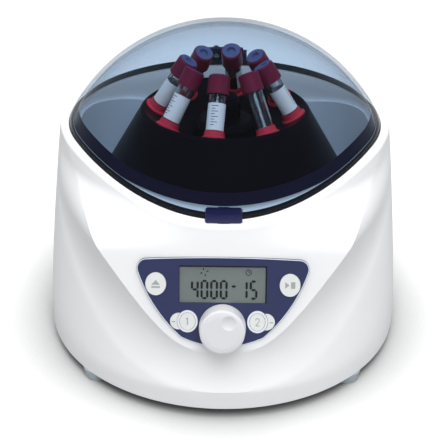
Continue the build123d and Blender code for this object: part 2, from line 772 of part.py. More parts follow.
def rotor_bell():
    """Fixed-angle rotor: a bell with an inward dish that carries the sleeves, and a hub column."""
    lean = math.radians(TUBE_TILT)
    out = (math.cos(lean), math.sin(lean))
    seat = (FLANGE_RING_RADIUS + SLEEVE_FLANGE * out[1], FLANGE_Z - SLEEVE_FLANGE * out[0])
    crest = (seat[0] + 10.4 * out[0], seat[1] + 10.4 * out[1])
    root = (HUB_COLUMN_RADIUS, seat[1] - (seat[0] - HUB_COLUMN_RADIUS) * math.tan(lean))
    deep = BELL_WALL / out[0]
    shoulder = (bell_radius(crest[1] - 2) + 0.8, crest[1] - 2)
    inner_top = shoulder[1] - 1.6 * BELL_WALL
    bore = HUB_RADIUS + 0.02
    points = [(bore, HUB_SEAT_Z), (bore, HUB_TOP_Z), (HUB_COLUMN_RADIUS - 4, HUB_TOP_Z),
              (HUB_COLUMN_RADIUS, HUB_TOP_Z - 4), root, crest, shoulder,
              (bell_radius(BELL_FOOT_Z), BELL_FOOT_Z), (bell_radius(BELL_FOOT_Z) - BELL_WALL, BELL_FOOT_Z),
              (bell_radius(inner_top) - BELL_WALL, inner_top), (root[0], root[1] - deep),
              (HUB_COLUMN_RADIUS, HUB_SEAT_Z + 8), (HUB_COLUMN_RADIUS - 3, HUB_SEAT_Z)]
    bell = spun(points)
    for place in tube_places():
        bell -= place * rod(sleeve_radius() + SLEEVE_GAP, -TUBE_BELOW - 2, SLEEVE_COLLAR + 1)
        bell -= place * rod(SLEEVE_FLANGE_RADIUS + SLEEVE_GAP, -SLEEVE_FLANGE, SLEEVE_COLLAR)
    return bell


def sleeve_radius():
    return TUBE_RADIUS + SLEEVE_GAP + SLEEVE_WALL


def tube_places():
    """Frames of the tube axes: local origin on the sleeve flange, local Z up the tube."""
    places = []
    for index in range(TUBE_COUNT):
        turn = FIRST_TUBE_ANGLE + index * 360 / TUBE_COUNT
        places.append(Pos(0, ROTOR_Y, 0) * Rot(0, 0, turn) * Pos(FLANGE_RING_RADIUS, 0, FLANGE_Z)
                      * Rot(0, -TUBE_TILT, 0))
    return places


def turned(points):
    """Solid of revolution about local Z from (radius, height) corners."""
    return revolve(make_face(Polyline(*[(r, 0, z) for r, z in points], close=True)), Axis.Z)


def tube_sleeves():
    outer = sleeve_radius()
    inner = TUBE_RADIUS + SLEEVE_GAP
    low = -TUBE_BELOW - SLEEVE_WALL
    sleeve = turned([(0, low), (outer - 0.6, low), (outer, low + 0.6), (outer, -SLEEVE_FLANGE),
                     (SLEEVE_FLANGE_RADIUS, -SLEEVE_FLANGE), (SLEEVE_FLANGE_RADIUS, -0.8),
                     (outer + 0.6, 0.2), (outer, SLEEVE_COLLAR), (inner, SLEEVE_COLLAR),
                     (inner, -TUBE_BELOW), (0, -TUBE_BELOW)])
    return Compound([place * sleeve for place in tube_places()])


def sample_tubes():
    """Clear round-bottomed tubes."""
    radius = TUBE_RADIUS
    bore = radius - TUBE_WALL
    foot = radius + SLEEVE_GAP - TUBE_BELOW
    tube = Pos(0, 0, foot) * Sphere(radius) + rod(radius, foot, TUBE_ABOVE)
    hollow = Pos(0, 0, foot) * Sphere(bore) + rod(bore, foot, TUBE_ABOVE)
    return Compound([place * (tube - hollow) for place in tube_places()])


def tube_caps():
    top = TUBE_ABOVE + 3.5
    low = top - CAP_LENGTH
    inner = TUBE_RADIUS + 0.1
    cap = turned([(inner, low), (CAP_RADIUS, low), (CAP_RADIUS - 0.3, top - 0.8), (CAP_RADIUS - 1, top),
                  (STOPPER_RADIUS, top), (STOPPER_RADIUS, TUBE_ABOVE + 0.1), (inner, TUBE_ABOVE + 0.1)])
    return Compound([place * cap for place in tube_places()])


def cap_stoppers():
    """Grey rubber stoppers in the caps, each with a round dimple."""
    top = TUBE_ABOVE + 3.9
    plug = TUBE_RADIUS - TUBE_WALL - 0.05
    stopper = turned([(0, TUBE_ABOVE - 6), (plug, TUBE_ABOVE - 6), (plug, TUBE_ABOVE + 0.1),
                      (STOPPER_RADIUS - 0.02, TUBE_ABOVE + 0.1), (STOPPER_RADIUS - 0.02, top),
                      (STOPPER_DIMPLE + 0.8, top), (STOPPER_DIMPLE, top - 1.8), (0, top - 1.8)])
    return Compound([place * stopper for place in tube_places()])


def rotor_hub():
    """Aluminium seat pressed on the shaft, which centres and carries the rotor."""
    low = MOTOR_NECK_Z + 2
    return spun([(SHAFT_RADIUS, low), (HUB_RADIUS, low), (HUB_RADIUS, HUB_SEAT_Z - 4),
                 (HUB_FLANGE_RADIUS, HUB_SEAT_Z - 4), (HUB_FLANGE_RADIUS, HUB_SEAT_Z), (HUB_RADIUS, HUB_SEAT_Z),
                 (HUB_RADIUS, HUB_TOP_Z - 1), (SHAFT_RADIUS, HUB_TOP_Z - 1)])


def rotor_nut():
    """Knurled hand nut that holds the rotor down."""
    high = HUB_TOP_Z + NUT_HEIGHT
    nut = spun([(SHAFT_RADIUS, HUB_TOP_Z), (NUT_RADIUS, HUB_TOP_Z), (NUT_RADIUS, high - 5),
                (NUT_RADIUS - 3, high), (0, high), (0, high - 4), (SHAFT_RADIUS, high - 4)])
    for index in range(12):
        turn = math.radians(index * 30)
        x, y = NUT_RADIUS * math.cos(turn), ROTOR_Y + NUT_RADIUS * math.sin(turn)
        nut -= rod(1.2, HUB_TOP_Z + 2, REACH, x, y)
    return nut


def motor_shaft():
    return rod(SHAFT_RADIUS, MOTOR_FOOT_Z + MOTOR_SHELL, HUB_TOP_Z + NUT_HEIGHT - 4, 0, ROTOR_Y)


def bearing_heights():
    low = MOTOR_FOOT_Z + MOTOR_SHELL
    high = MOTOR_NECK_Z - 3
    return (low, low + BEARING_WIDTH), (high - BEARING_WIDTH, high)


def bearing(low, high):
    """Ball bearing drawn as one ring, with the groove between its races."""
    bore = SHAFT_RADIUS + RUNNING_GAP
    inner = bore + (BEARING_RADIUS - bore) / 3
    outer = BEARING_RADIUS - (BEARING_RADIUS - bore) / 3
    return spun([(bore, low), (BEARING_RADIUS, low), (BEARING_RADIUS, high), (outer, high), (outer, high - 1),
                 (inner, high - 1), (inner, high), (bore, high)])


def motor_housing():
    """Motor can with its neck, closed below by an end plate."""
    low, high = bearing_heights()
    can = rod(MOTOR_RADIUS, MOTOR_FOOT_Z, MOTOR_TOP_Z, 0, ROTOR_Y)
    can += rod(MOTOR_NECK_RADIUS, MOTOR_TOP_Z, MOTOR_NECK_Z, 0, ROTOR_Y)
    can -= rod(MOTOR_RADIUS - MOTOR_SHELL, low[1], MOTOR_TOP_Z - MOTOR_SHELL, 0, ROTOR_Y)
    can -= rod(BEARING_RADIUS, low[0], low[1], 0, ROTOR_Y)
    can -= rod(BEARING_RADIUS, high[0], high[1], 0, ROTOR_Y)
    return can - rod(SHAFT_RADIUS + 2, low[1], REACH, 0, ROTOR_Y)


def motor_stator():
    low, high = bearing_heights()
    ring = rod(MOTOR_RADIUS - MOTOR_SHELL, low[1] + 3, MOTOR_TOP_Z - MOTOR_SHELL - 3, 0, ROTOR_Y)
    return ring - rod(STATOR_INNER_RADIUS, 0, REACH, 0, ROTOR_Y)


def motor_armature():
    low, high = bearing_heights()
    core = rod(ARMATURE_RADIUS, low[1] + 5, MOTOR_TOP_Z - MOTOR_SHELL - 5, 0, ROTOR_Y)
    return core - rod(SHAFT_RADIUS, 0, REACH, 0, ROTOR_Y)


def motor_plate():
    half = MOTOR_PLATE_SIZE / 2
    plate = block(-half, half, ROTOR_Y - half, ROTOR_Y + half, MOTOR_FOOT_Z - MOTOR_PLATE, MOTOR_FOOT_Z)
    plate = fillet(plate.edges().filter_by(Axis.Z), 10)
    for x, y in damper_positions():
        plate -= rod(SCREW_RADIUS, 0, REACH, x, y)
    return plate


def motor_dampers():
    """Rubber buffers between the base tray and the motor plate."""
    low = FOOT_HEIGHT + TRAY
    high = MOTOR_FOOT_Z - MOTOR_PLATE
    waist = (low + high) / 2
    parts = []
    for x, y in damper_positions():
        buffer = turned([(SCREW_RADIUS, low), (DAMPER_RADIUS, low), (DAMPER_RADIUS - 1.6, waist),
                         (DAMPER_RADIUS, high), (SCREW_RADIUS, high)])
        parts.append(Pos(x, y, 0) * buffer)
    return Compound(parts)


def damper_screws():
    return Compound([screw(x, y, MOTOR_FOOT_Z + SCREW_HEAD, FOOT_HEIGHT) for x, y in damper_positions()])


def control_panel():
    """Dark half-moon plate with openings for the window, the keys and the knob's bush."""
    low = PANEL_PROUD - PANEL_THICK
    panel = panel_slab(low, PANEL_PROUD)
    panel = chamfer(panel.faces().sort_by(Axis(face_plane().origin, face_plane().z_dir))[-1].edges(), 0.4)
    panel -= face_block(WINDOW_WIDTH, WINDOW_HEIGHT, low - 1, PANEL_PROUD + 1, 0, WINDOW_UP)
    panel -= face_rod(ENCODER_SHAFT_RADIUS + 0.9, low - 1, PANEL_PROUD + 1, 0, KNOB_UP)
    for side in (-1, 1):
        panel -= face_oval(KEY_WIDTH, KEY_HEIGHT, low - 1, PANEL_PROUD + 1, side * SIDE_KEY_X, SIDE_KEY_UP)
        x = side * NUMBER_KEY_X
        panel -= face_oval(NUMBER_KEY_WIDTH, NUMBER_KEY_HEIGHT, low - 1, PANEL_PROUD + 1, x, NUMBER_KEY_UP)
        panel -= pill_shape(side, low - 1, PANEL_PROUD + 1, 0)
    return panel


def display_window():
    """Clear window set flush in the panel over the display."""
    wide, tall = WINDOW_WIDTH - 0.2, WINDOW_HEIGHT - 0.2
    return face_block(wide, tall, PANEL_PROUD - WINDOW_THICK, PANEL_PROUD, 0, WINDOW_UP)


def lcd_module():
    """Display module behind the window, on two pin strips that reach the board."""
    high = PANEL_PROUD - PANEL_THICK - KEY_BACK_GAP
    low = high - LCD_THICK
    module = face_block(LCD_WIDTH, LCD_HEIGHT, low, high, 0, WINDOW_UP)
    for side in (-1, 1):
        up = WINDOW_UP + side * (LCD_HEIGHT / 2 - 3)
        module += face_block(LCD_WIDTH - 6, 2, -BOARD_DEPTH, low, 0, up)
    return module


def control_board():
    """Circuit board of the controls, cut to the shape of the bay."""
    board = panel_slab(-BOARD_DEPTH - BOARD_THICK, -BOARD_DEPTH, -PANEL_SHELF - 0.6)
    for x, up in board_screw_places():
        board -= face_rod(1.3, -BOARD_DEPTH - 3, -BOARD_DEPTH + 1, x, up)
    return board


def board_screw_places():
    return [(-48.0, 23.9), (48.0, 23.9), (-17.5, -22.5), (17.5, -22.5)]


def board_spacers():
    """Spacers that hold the control board to the back of the panel."""
    high = PANEL_PROUD - PANEL_THICK
    spacers = []
    for x, up in board_screw_places():
        spacer = face_rod(SPACER_RADIUS, -BOARD_DEPTH, high, x, up)
        spacers.append(spacer - face_rod(1.0, -BOARD_DEPTH, high - 2, x, up))
    return Compound(spacers)


def board_screws():
    screws = []
    low = -BOARD_DEPTH - BOARD_THICK
    for x, up in board_screw_places():
        head = face_rod(SPACER_RADIUS, low - 1.4, low, x, up)
        screws.append(head + face_rod(0.98, low, -BOARD_DEPTH + 6, x, up))
    return Compound(screws)


def key_stem(x, up):
    high = PANEL_PROUD - PANEL_THICK - KEY_FLANGE
    return face_rod(KEY_STEM_RADIUS, -BOARD_DEPTH + SWITCH_HEIGHT + KEY_TRAVEL + 0.1, high, x, up)


def side_key(side):
    """Large oval key with a flange behind the panel."""
    x = side * SIDE_KEY_X
    top = PANEL_PROUD + KEY_PROUD
    back = PANEL_PROUD - PANEL_THICK - KEY_BACK_GAP
    width, height = KEY_WIDTH - 2 * KEY_GAP, KEY_HEIGHT - 2 * KEY_GAP
    key = face_oval(width, height, back, top, x, SIDE_KEY_UP)
    wide, tall = KEY_WIDTH + 2 * KEY_LIP, KEY_HEIGHT + 2 * KEY_LIP
    key += face_oval(wide, tall, back - KEY_FLANGE, back, x, SIDE_KEY_UP)
    return key + key_stem(x, SIDE_KEY_UP)


def number_key(side):
    x = side * NUMBER_KEY_X
    top = PANEL_PROUD + KEY_PROUD
    back = PANEL_PROUD - PANEL_THICK - KEY_BACK_GAP
    width, height = NUMBER_KEY_WIDTH - 2 * KEY_GAP, NUMBER_KEY_HEIGHT - 2 * KEY_GAP
    key = face_oval(width, height, back, top, x, NUMBER_KEY_UP)
    wide, tall = NUMBER_KEY_WIDTH + KEY_LIP, NUMBER_KEY_HEIGHT + KEY_LIP
    key += face_oval(wide, tall, back - KEY_FLANGE, back, x, NUMBER_KEY_UP)
    return key + key_stem(x, NUMBER_KEY_UP)


def pill_shape(side, low, high, gap):
    """Crescent-ended pill that tucks in beside the ring of a number key."""
    x = side * NUMBER_KEY_X
    pill = face_pill(PILL_REACH - gap, PILL_HEIGHT - 2 * gap, low, high, x, NUMBER_KEY_UP, side)
    ring = 2 * (BEZEL_WIDTH + gap)
    return pill - face_oval(NUMBER_KEY_WIDTH + ring, NUMBER_KEY_HEIGHT + ring, low, high, x, NUMBER_KEY_UP)


def pill_key(side):
    top = PANEL_PROUD + KEY_PROUD - 0.3
    back = PANEL_PROUD - PANEL_THICK - KEY_BACK_GAP
    key = pill_shape(side, back, top, KEY_GAP)
    key += pill_shape(side, back - KEY_FLANGE, back, -KEY_LIP)
    return key + key_stem(side * pill_stem_x(), NUMBER_KEY_UP)


def pill_stem_x():
    return NUMBER_KEY_X + PILL_REACH - PILL_STEM_INSET


def key_bezels():
    """Thin rings round the number keys, standing on the panel."""
    rings = []
    for side in (-1, 1):
        x = side * NUMBER_KEY_X
        low, high = PANEL_PROUD, PANEL_PROUD + 0.8
        width, height = NUMBER_KEY_WIDTH + 2 * BEZEL_WIDTH, NUMBER_KEY_HEIGHT + 2 * BEZEL_WIDTH
        ring = face_oval(width, height, low, high, x, NUMBER_KEY_UP)
        rings.append(ring - face_oval(NUMBER_KEY_WIDTH, NUMBER_KEY_HEIGHT, low, high, x, NUMBER_KEY_UP))
    return Compound(rings)


def key_switches():
    """Small push switches on the board, one behind each key."""
    switches = []
    low = -BOARD_DEPTH
    high = low + SWITCH_HEIGHT
    places = ((SIDE_KEY_X, SIDE_KEY_UP), (NUMBER_KEY_X, NUMBER_KEY_UP), (pill_stem_x(), NUMBER_KEY_UP))
    for x, up in places + tuple((-x, up) for x, up in places):
        switch = face_block(SWITCH_SIZE, SWITCH_SIZE, low, high - 1, x, up)
        switches.append(switch + face_rod(1.75, low, high, x, up))
    return Compound(switches)


def encoder_body():
    """Rotary encoder on the board, with the bush that guides the knob's shaft."""
    high = PANEL_PROUD - PANEL_THICK - 4
    body = face_block(ENCODER_SIZE, ENCODER_SIZE, -BOARD_DEPTH, high, 0, KNOB_UP)
    body += face_rod(ENCODER_SHAFT_RADIUS + 0.8, high, PANEL_PROUD, 0, KNOB_UP)
    return body - face_rod(ENCODER_SHAFT_RADIUS + RUNNING_GAP, -BOARD_DEPTH + 3, PANEL_PROUD, 0, KNOB_UP)


def encoder_shaft():
    high = PANEL_PROUD + KNOB_GAP + KNOB_HEIGHT - 5
    return face_rod(ENCODER_SHAFT_RADIUS, -BOARD_DEPTH + 3.3, high, 0, KNOB_UP)


def knob():
    """Setting knob: slightly tapered, with a domed face and a finger dimple."""
    low = PANEL_PROUD + KNOB_GAP
    high = low + KNOB_HEIGHT
    edge = KNOB_RADIUS
    shape = turned([(0, low), (edge, low), (edge, low + 4), (edge - 0.8, high - 1.5),
                    (edge - 2.2, high - 0.5), (edge - 5, high), (0, high)])
    ball = KNOB_DIMPLE * 1.7
    depth = ball - math.sqrt(ball ** 2 - KNOB_DIMPLE ** 2)
    shape -= Pos(KNOB_RADIUS * 0.28, KNOB_RADIUS * 0.42, high + ball - depth) * Sphere(ball)
    shape -= rod(ENCODER_SHAFT_RADIUS + 0.01, low, high - 4)
    return on_face(Pos(0, KNOB_UP, 0) * shape)


def supply_board():
    top = BOARD_SEAT_Z + BOARD_THICK
    return block(-SUPPLY_HALF_WIDTH, SUPPLY_HALF_WIDTH, SUPPLY_LOW_Y, SUPPLY_HIGH_Y, BOARD_SEAT_Z, top)


def supply_parts():
    """Capacitors, transformer, choke and heat sink of the motor supply."""
    seat = BOARD_SEAT_Z + BOARD_THICK
    end = SUPPLY_HALF_WIDTH
    middle = (SUPPLY_LOW_Y + SUPPLY_HIGH_Y) / 2
    parts = [rod(8.0, seat, seat + 26, x, middle) for x in (14 - end, 32 - end)]
    parts.append(block(end - 34, end - 8, middle - 11, middle + 11, seat, seat + 19))
    sink = block(end - 62, end - 40, middle - 14, middle + 14, seat, seat + 22)
    for index in range(4):
        x = end - 60 + index * 5
        sink -= block(x, x + 3, middle - 15, middle + 15, seat + 4, seat + 23)
    parts.append(sink)
    return Compound(parts)


def power_inlet():
    """Mains inlet with a flange and three blades in its socket."""
    back = BACK_Y - RECESS_DEPTH
    half, tall = INLET_WIDTH / 2, INLET_HEIGHT / 2
    low, high = SERVICE_Z - tall, SERVICE_Z + tall
    body = block(INLET_X - half, INLET_X + half, back - INLET_DEPTH, back, low, high)
    body += block(INLET_X - half - 2.4, INLET_X + half + 2.4, back, back + INLET_FLANGE,
                  SERVICE_Z - tall - 2.4, SERVICE_Z + tall + 2.4)
    socket = block(INLET_X - half + 2, INLET_X + half - 2, back - INLET_DEPTH + 4, REACH,
                   SERVICE_Z - tall + 2, SERVICE_Z + tall - 2)
    for x in (-7.0, 0.0, 7.0):
        z = SERVICE_Z + (3.0 if x == 0 else -1.5)
        socket -= block(INLET_X + x - 1, INLET_X + x + 1, back - INLET_DEPTH, back - 4, z - 2, z + 2)
    return body - socket


def switch_frame():
    """Frame of the power switch, snapped into the rear recess."""
    back = BACK_Y - RECESS_DEPTH
    half, tall = ROCKER_WIDTH / 2, ROCKER_HEIGHT / 2
    low, high = SERVICE_Z - tall - 3, SERVICE_Z + tall + 3
    rim = block(ROCKER_X - half - 3, ROCKER_X + half + 3, back, back + 1.6, low, high)
    frame = rocker_opening() + rim
    frame -= block(ROCKER_X - half, ROCKER_X + half, back - 10, REACH, SERVICE_Z - tall, SERVICE_Z + tall)
    axle = Pos(ROCKER_X, back - 1, SERVICE_Z) * Rot(0, 90, 0) * Cylinder(1.2, ROCKER_WIDTH + 2)
    return frame + axle


def power_rocker():
    """Rocker of the power switch, resting pressed at its upper end."""
    back = BACK_Y - RECESS_DEPTH
    half = ROCKER_WIDTH / 2 - 0.3
    tall = ROCKER_HEIGHT / 2 - 0.8
    corners = [(0, -4.5, -4), (0, 3.2, -tall), (0, 1.6, 0), (0, 3.2, tall), (0, -4.5, 4)]
    rocker = extrude(make_face(Polyline(*corners, close=True)), amount=half, dir=(1, 0, 0), both=True)
    rocker -= Rot(0, 90, 0) * Cylinder(1.25, REACH)
    return Pos(ROCKER_X, back - 1, SERVICE_Z) * Rot(ROCKER_TILT, 0, 0) * rocker


def build():
    """Every sub-part of the centrifuge under its name."""
    low, high = bearing_heights()
    return {
        "housing": housing(), "base_tray": base_tray(), "rubber_feet": rubber_feet(),
        "foot_screws": foot_screws(), "body_screws": body_screws(),
        "chamber_bowl": chamber_bowl(), "bowl_screws": bowl_screws(), "bowl_seal": bowl_seal(),
        "lid_dome": lid_dome(), "lid_seal": lid_seal(), "latch_tab": latch_tab(), "latch_hook": latch_hook(),
        "lock_body": lock_body(), "lock_bolt": lock_bolt(),
        "hinge_bracket": hinge_bracket(), "hinge_pin": hinge_pin(), "hinge_leaf": hinge_leaf(),
        "hinge_screws": hinge_screws(), "leaf_screws": leaf_screws(),
        "rotor_bell": rotor_bell(), "rotor_hub": rotor_hub(), "rotor_nut": rotor_nut(),
        "tube_sleeves": tube_sleeves(), "sample_tubes": sample_tubes(), "tube_caps": tube_caps(),
        "cap_stoppers": cap_stoppers(),
        "motor_housing": motor_housing(), "motor_stator": motor_stator(), "motor_armature": motor_armature(),
        "motor_shaft": motor_shaft(), "lower_bearing": bearing(*low), "upper_bearing": bearing(*high),
        "motor_plate": motor_plate(), "motor_dampers": motor_dampers(), "damper_screws": damper_screws(),
        "control_panel": control_panel(), "display_window": display_window(), "lcd_module": lcd_module(),
        "control_board": control_board(), "board_spacers": board_spacers(), "board_screws": board_screws(),
        "open_key": side_key(-1), "start_key": side_key(1),
        "program_key_1": number_key(-1), "program_key_2": number_key(1),
        "store_key_1": pill_key(-1), "store_key_2": pill_key(1),
        "key_bezels": key_bezels(), "key_switches": key_switches(),
        "encoder_body": encoder_body(), "encoder_shaft": encoder_shaft(), "knob": knob(),
        "supply_board": supply_board(), "supply_parts": supply_parts(),
        "power_inlet": power_inlet(), "switch_frame": switch_frame(), "power_rocker": power_rocker(),
    }


def main():
    os.makedirs("parts", exist_ok=True)
    for name, shape in build().items():
        shape.label = name
        export_step(shape, f"parts/{name}.step")


if __name__ == "__main__":
    main()
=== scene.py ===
import math
import bmesh
import bpy
from mathutils import Matrix, Vector


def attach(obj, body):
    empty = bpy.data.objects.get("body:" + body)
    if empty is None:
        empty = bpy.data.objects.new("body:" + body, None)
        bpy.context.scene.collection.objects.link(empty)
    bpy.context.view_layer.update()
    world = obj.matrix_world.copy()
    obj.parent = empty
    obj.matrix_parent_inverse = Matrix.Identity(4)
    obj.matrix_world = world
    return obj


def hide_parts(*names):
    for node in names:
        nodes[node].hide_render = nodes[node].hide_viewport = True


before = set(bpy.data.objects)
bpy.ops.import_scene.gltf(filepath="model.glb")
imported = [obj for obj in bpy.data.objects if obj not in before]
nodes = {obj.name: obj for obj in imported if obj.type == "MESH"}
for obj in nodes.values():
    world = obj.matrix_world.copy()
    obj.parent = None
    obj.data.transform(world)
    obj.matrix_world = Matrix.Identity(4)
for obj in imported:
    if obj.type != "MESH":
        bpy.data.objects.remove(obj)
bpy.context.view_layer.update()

# Upper shell of the body: one injection moulding in white ABS with a satin, very slightly grained skin.
# The face shield stands proud of the oval body, a hollow flank runs round it down to a soft crest,
# and the rim dips in an arc at the front. Screws from below hold it to the steel tray.
MM = 0.001
BODY_WIDTH = 275.0
BODY_DEPTH = 302.0
BODY_CENTRE_Y = 3.2
TOP_WIDTH = 253.0
WIDTH_CURVE = 1.3
FOOT_Z = 8.0
CREST_Z = 22.0
RIM_Z = 161.0
RIM_DROP = 1.5
RIM_DIP_RADIUS = 171.0
RIM_STEEPEST = 0.97
FRONT_Y = BODY_CENTRE_Y - BODY_DEPTH / 2
BACK_Y = BODY_CENTRE_Y + BODY_DEPTH / 2
ROTOR_Y = BODY_CENTRE_Y + 21.0
RIM_LEVEL_Y = ROTOR_Y - 45.0
FACE_LEAN = math.radians(18.4)
FACE_RADIUS = 900.0
SHIELD_LOW_Z = 50.3
SHIELD_SLOPE = 1.38
SHIELD_FOOT_HALF = 40.0
SHIELD_POWER = 3.5
SHIELD_FADE_Z = 117.0
SHIELD_FADE_HEIGHT = 30.0
CREST_RISE = 77.5
CREST_HALF_WIDTH = 122.3
FLANK_SWEEP = 2.4
FLANK_HOLLOW = 3.5
FRONT_SHARE = 0.35
WALL = 3.2
FRONT_WALL = 7.0
CHAMBER_RADIUS = 114.0
FUNNEL_WALL = 4.0
FUNNEL_FOOT_Z = 100.0
SHELL_COLUMNS = 360
SKIRT_ROWS = 8
FLANK_ROWS = 18
FACE_ROWS = 26
FUNNEL_ROWS = 8
RIM_BEND = 2.0
RIM_ROUND = ((0.25, 0.9), (0.9, 0.25), (2.0, 0.0))
LIP_ROUND = ((1.6, 0.0), (0.5, 0.35), (0.0, 1.5))
LOCK_SHELF_Z = 129.0
LOCK_SHELF_TURN = 0.4
LOCK_SHELF_FADE = 0.3
LOCK_SHELF_RISE = 40.0


def smooth_step(value):
    """Eases from 0 to 1 and stays there."""
    value = min(max(value, 0.0), 1.0)
    return value * value * (3 - 2 * value)


def half_width(z):
    """Half the oval's width at one height."""
    share = max(z - CREST_Z, 0.0) / (RIM_Z - CREST_Z)
    return BODY_WIDTH / 2 - (BODY_WIDTH - TOP_WIDTH) / 2 * share ** WIDTH_CURVE


def front_y(z):
    """Foremost line of the leaning face at one height."""
    return FRONT_Y + math.tan(FACE_LEAN) * max(z - CREST_Z, 0.0)


def rim_z(y):
    """Height of the rim line: level at the back, dipping in an arc towards the front."""
    ahead = min(max(RIM_LEVEL_Y - y, 0.0), RIM_STEEPEST * RIM_DIP_RADIUS)
    return RIM_Z - RIM_DIP_RADIUS + math.sqrt(RIM_DIP_RADIUS ** 2 - ahead ** 2)


def shield_edge_z(x):
    """Height of the face shield's lower edge: a round foot between two climbing sides."""
    reach = (abs(x) ** SHIELD_POWER + SHIELD_FOOT_HALF ** SHIELD_POWER) ** (1 / SHIELD_POWER)
    return SHIELD_LOW_Z + SHIELD_SLOPE * (reach - SHIELD_FOOT_HALF)


def crest_z(x):
    """Height of the soft crest below the hollow flank."""
    return CREST_Z + CREST_RISE * (abs(x) / CREST_HALF_WIDTH) ** 3


def flank_shift(x, y, z, facing):
    """How far the face shield and the hollow flank move a point of the plain oval along Y."""
    shield_y = front_y(z) + x * x / (2 * FACE_RADIUS)
    across = (shield_edge_z(x) - z) / (shield_edge_z(x) - crest_z(x))
    across = min(max(across, 0.0), 1.0)
    proud = (shield_y - y) * (1 - smooth_step((z - SHIELD_FADE_Z) / SHIELD_FADE_HEIGHT))
    hollow = 4 * FLANK_HOLLOW * across * (1 - across)
    return (proud * (1 - across) ** FLANK_SWEEP + hollow) * smooth_step(facing / FRONT_SHARE)


def skin_point(turn, z, inset=0.0, front_inset=0.0):
    """Point of the outer skin at one turn round the body, or of the plain inner wall when inset."""
    low_y, high_y = front_y(z) + front_inset, BACK_Y - inset
    x = (half_width(z) - inset) * math.sin(turn)
    y = (low_y + high_y) / 2 - (high_y - low_y) / 2 * math.cos(turn)
    if inset == 0 and math.cos(turn) > 0:
        y += flank_shift(x, y, z, math.cos(turn))
    return (x, y, z)


def settled(turn, target, start):
    """Height at which the skin of one column meets a line that depends on the skin's own x and y."""
    z = start
    for step in range(30):
        x, y = skin_point(turn, z)[:2]
        z += 0.5 * (target(x, y) - z)
    return z


def spread(low, high, count):
    """Evenly spaced steps from low up to, but without, high."""
    return [low + (high - low) * step / count for step in range(count)]


def skin_heights(turn, top):
    """Heights of one column's points, close together where the crest and the shield's edge pass."""
    share = smooth_step(math.cos(turn) / FRONT_SHARE)
    crest, edge = 0.0, 0.0
    if math.cos(turn) > 0:
        crest = settled(turn, lambda x, y: crest_z(x), 40.0)
        edge = settled(turn, lambda x, y: min(shield_edge_z(x), 170.0), 60.0)
    crest = min(share * crest + (1 - share) * (FOOT_Z + 0.2 * (top - FOOT_Z)), top - 12.0)
    edge = min(share * edge + (1 - share) * (FOOT_Z + 0.6 * (top - FOOT_Z)), top - 4.0)
    heights = [FOOT_Z, FOOT_Z + 0.8] + spread(FOOT_Z + 2.0, crest, SKIRT_ROWS)
    heights += spread(crest, edge, FLANK_ROWS) + spread(edge, top - RIM_BEND, FACE_ROWS)
    return heights + [top - RIM_BEND]


def shell_column(turn):
    """One closed section of the shell's wall, from the foot up the outside and back down the inside."""
    top = settled(turn, lambda x, y: rim_z(y) - RIM_DROP, 150.0)
    section = [skin_point(turn, z) for z in skin_heights(turn, top)]
    x, y = section[-1][:2]
    angle = math.atan2(y - ROTOR_Y, x)
    lip = (CHAMBER_RADIUS * math.cos(angle), ROTOR_Y + CHAMBER_RADIUS * math.sin(angle))
    run = math.dist((x, y), lip)
    rounds = [*RIM_ROUND, (run * 0.35, 0.0), (run * 0.65, 0.0)]
    rounds += [(run - before, drop) for before, drop in LIP_ROUND]
    for inward, drop in rounds:
        px = x + (lip[0] - x) * inward / run
        py = y + (lip[1] - y) * inward / run
        section.append((px, py, rim_z(py) - RIM_DROP - drop))
    low_lip = section[-1][2]
    section += [(*lip, z) for z in spread(low_lip, FUNNEL_FOOT_Z, FUNNEL_ROWS)[1:] + [FUNNEL_FOOT_Z]]
    outer = CHAMBER_RADIUS + FUNNEL_WALL
    back = (outer * math.cos(angle), ROTOR_Y + outer * math.sin(angle))
    ceiling = rim_z(y) - RIM_DROP - WALL - 1.5
    if math.cos(turn) > 0:
        past_lock = smooth_step((abs(turn) - LOCK_SHELF_TURN) / LOCK_SHELF_FADE)
        ceiling = min(ceiling, LOCK_SHELF_Z + LOCK_SHELF_RISE * past_lock)
    section += [(*back, z) for z in (FUNNEL_FOOT_Z, (FUNNEL_FOOT_Z + ceiling) / 2, ceiling)]
    inner = [skin_point(turn, z, WALL, FRONT_WALL) for z in (ceiling, 110.0, 80.0, 50.0, CREST_Z, FOOT_Z)]
    return section + inner


def mesh_object(name, points, faces, materials=(), smooth=True):
    """A finished mesh object from points in millimetres."""
    mesh = bpy.data.meshes.new(name)
    mesh.from_pydata([(x * MM, y * MM, z * MM) for x, y, z in points], [], faces)
    mesh.validate()
    for polygon in mesh.polygons:
        polygon.use_smooth = smooth
    piece = bpy.data.objects.new(name, mesh)
    bpy.context.scene.collection.objects.link(piece)
    for material in materials:
        mesh.materials.append(material)
    return piece


def outwards(piece):
    """Merges doubled points and turns every face of a closed mesh outwards."""
    work = bmesh.new()
    work.from_mesh(piece.data)
    bmesh.ops.remove_doubles(work, verts=work.verts, dist=0.01 * MM)
    bmesh.ops.recalc_face_normals(work, faces=work.faces)
    work.to_mesh(piece.data)
    work.free()


def ring_faces(columns, rows, closed_rows=True):
    """Quads between neighbouring columns of points, going once round."""
    faces = []
    last = rows if closed_rows else rows - 1
    for i in range(columns):
        for j in range(last):
            a, b = i * rows + j, i * rows + (j + 1) % rows
            c, d = ((i + 1) % columns) * rows + (j + 1) % rows, ((i + 1) % columns) * rows + j
            faces.append((a, b, c, d))
    return faces


def prism(name, low_line, high_line):
    """Closed prism between two like outlines of points."""
    count = len(low_line)
    faces = [tuple(reversed(range(count))), tuple(range(count, 2 * count))]
    faces += [(k, (k + 1) % count, count + (k + 1) % count, count + k) for k in range(count)]
    return mesh_object(name, low_line + high_line, faces, smooth=False)


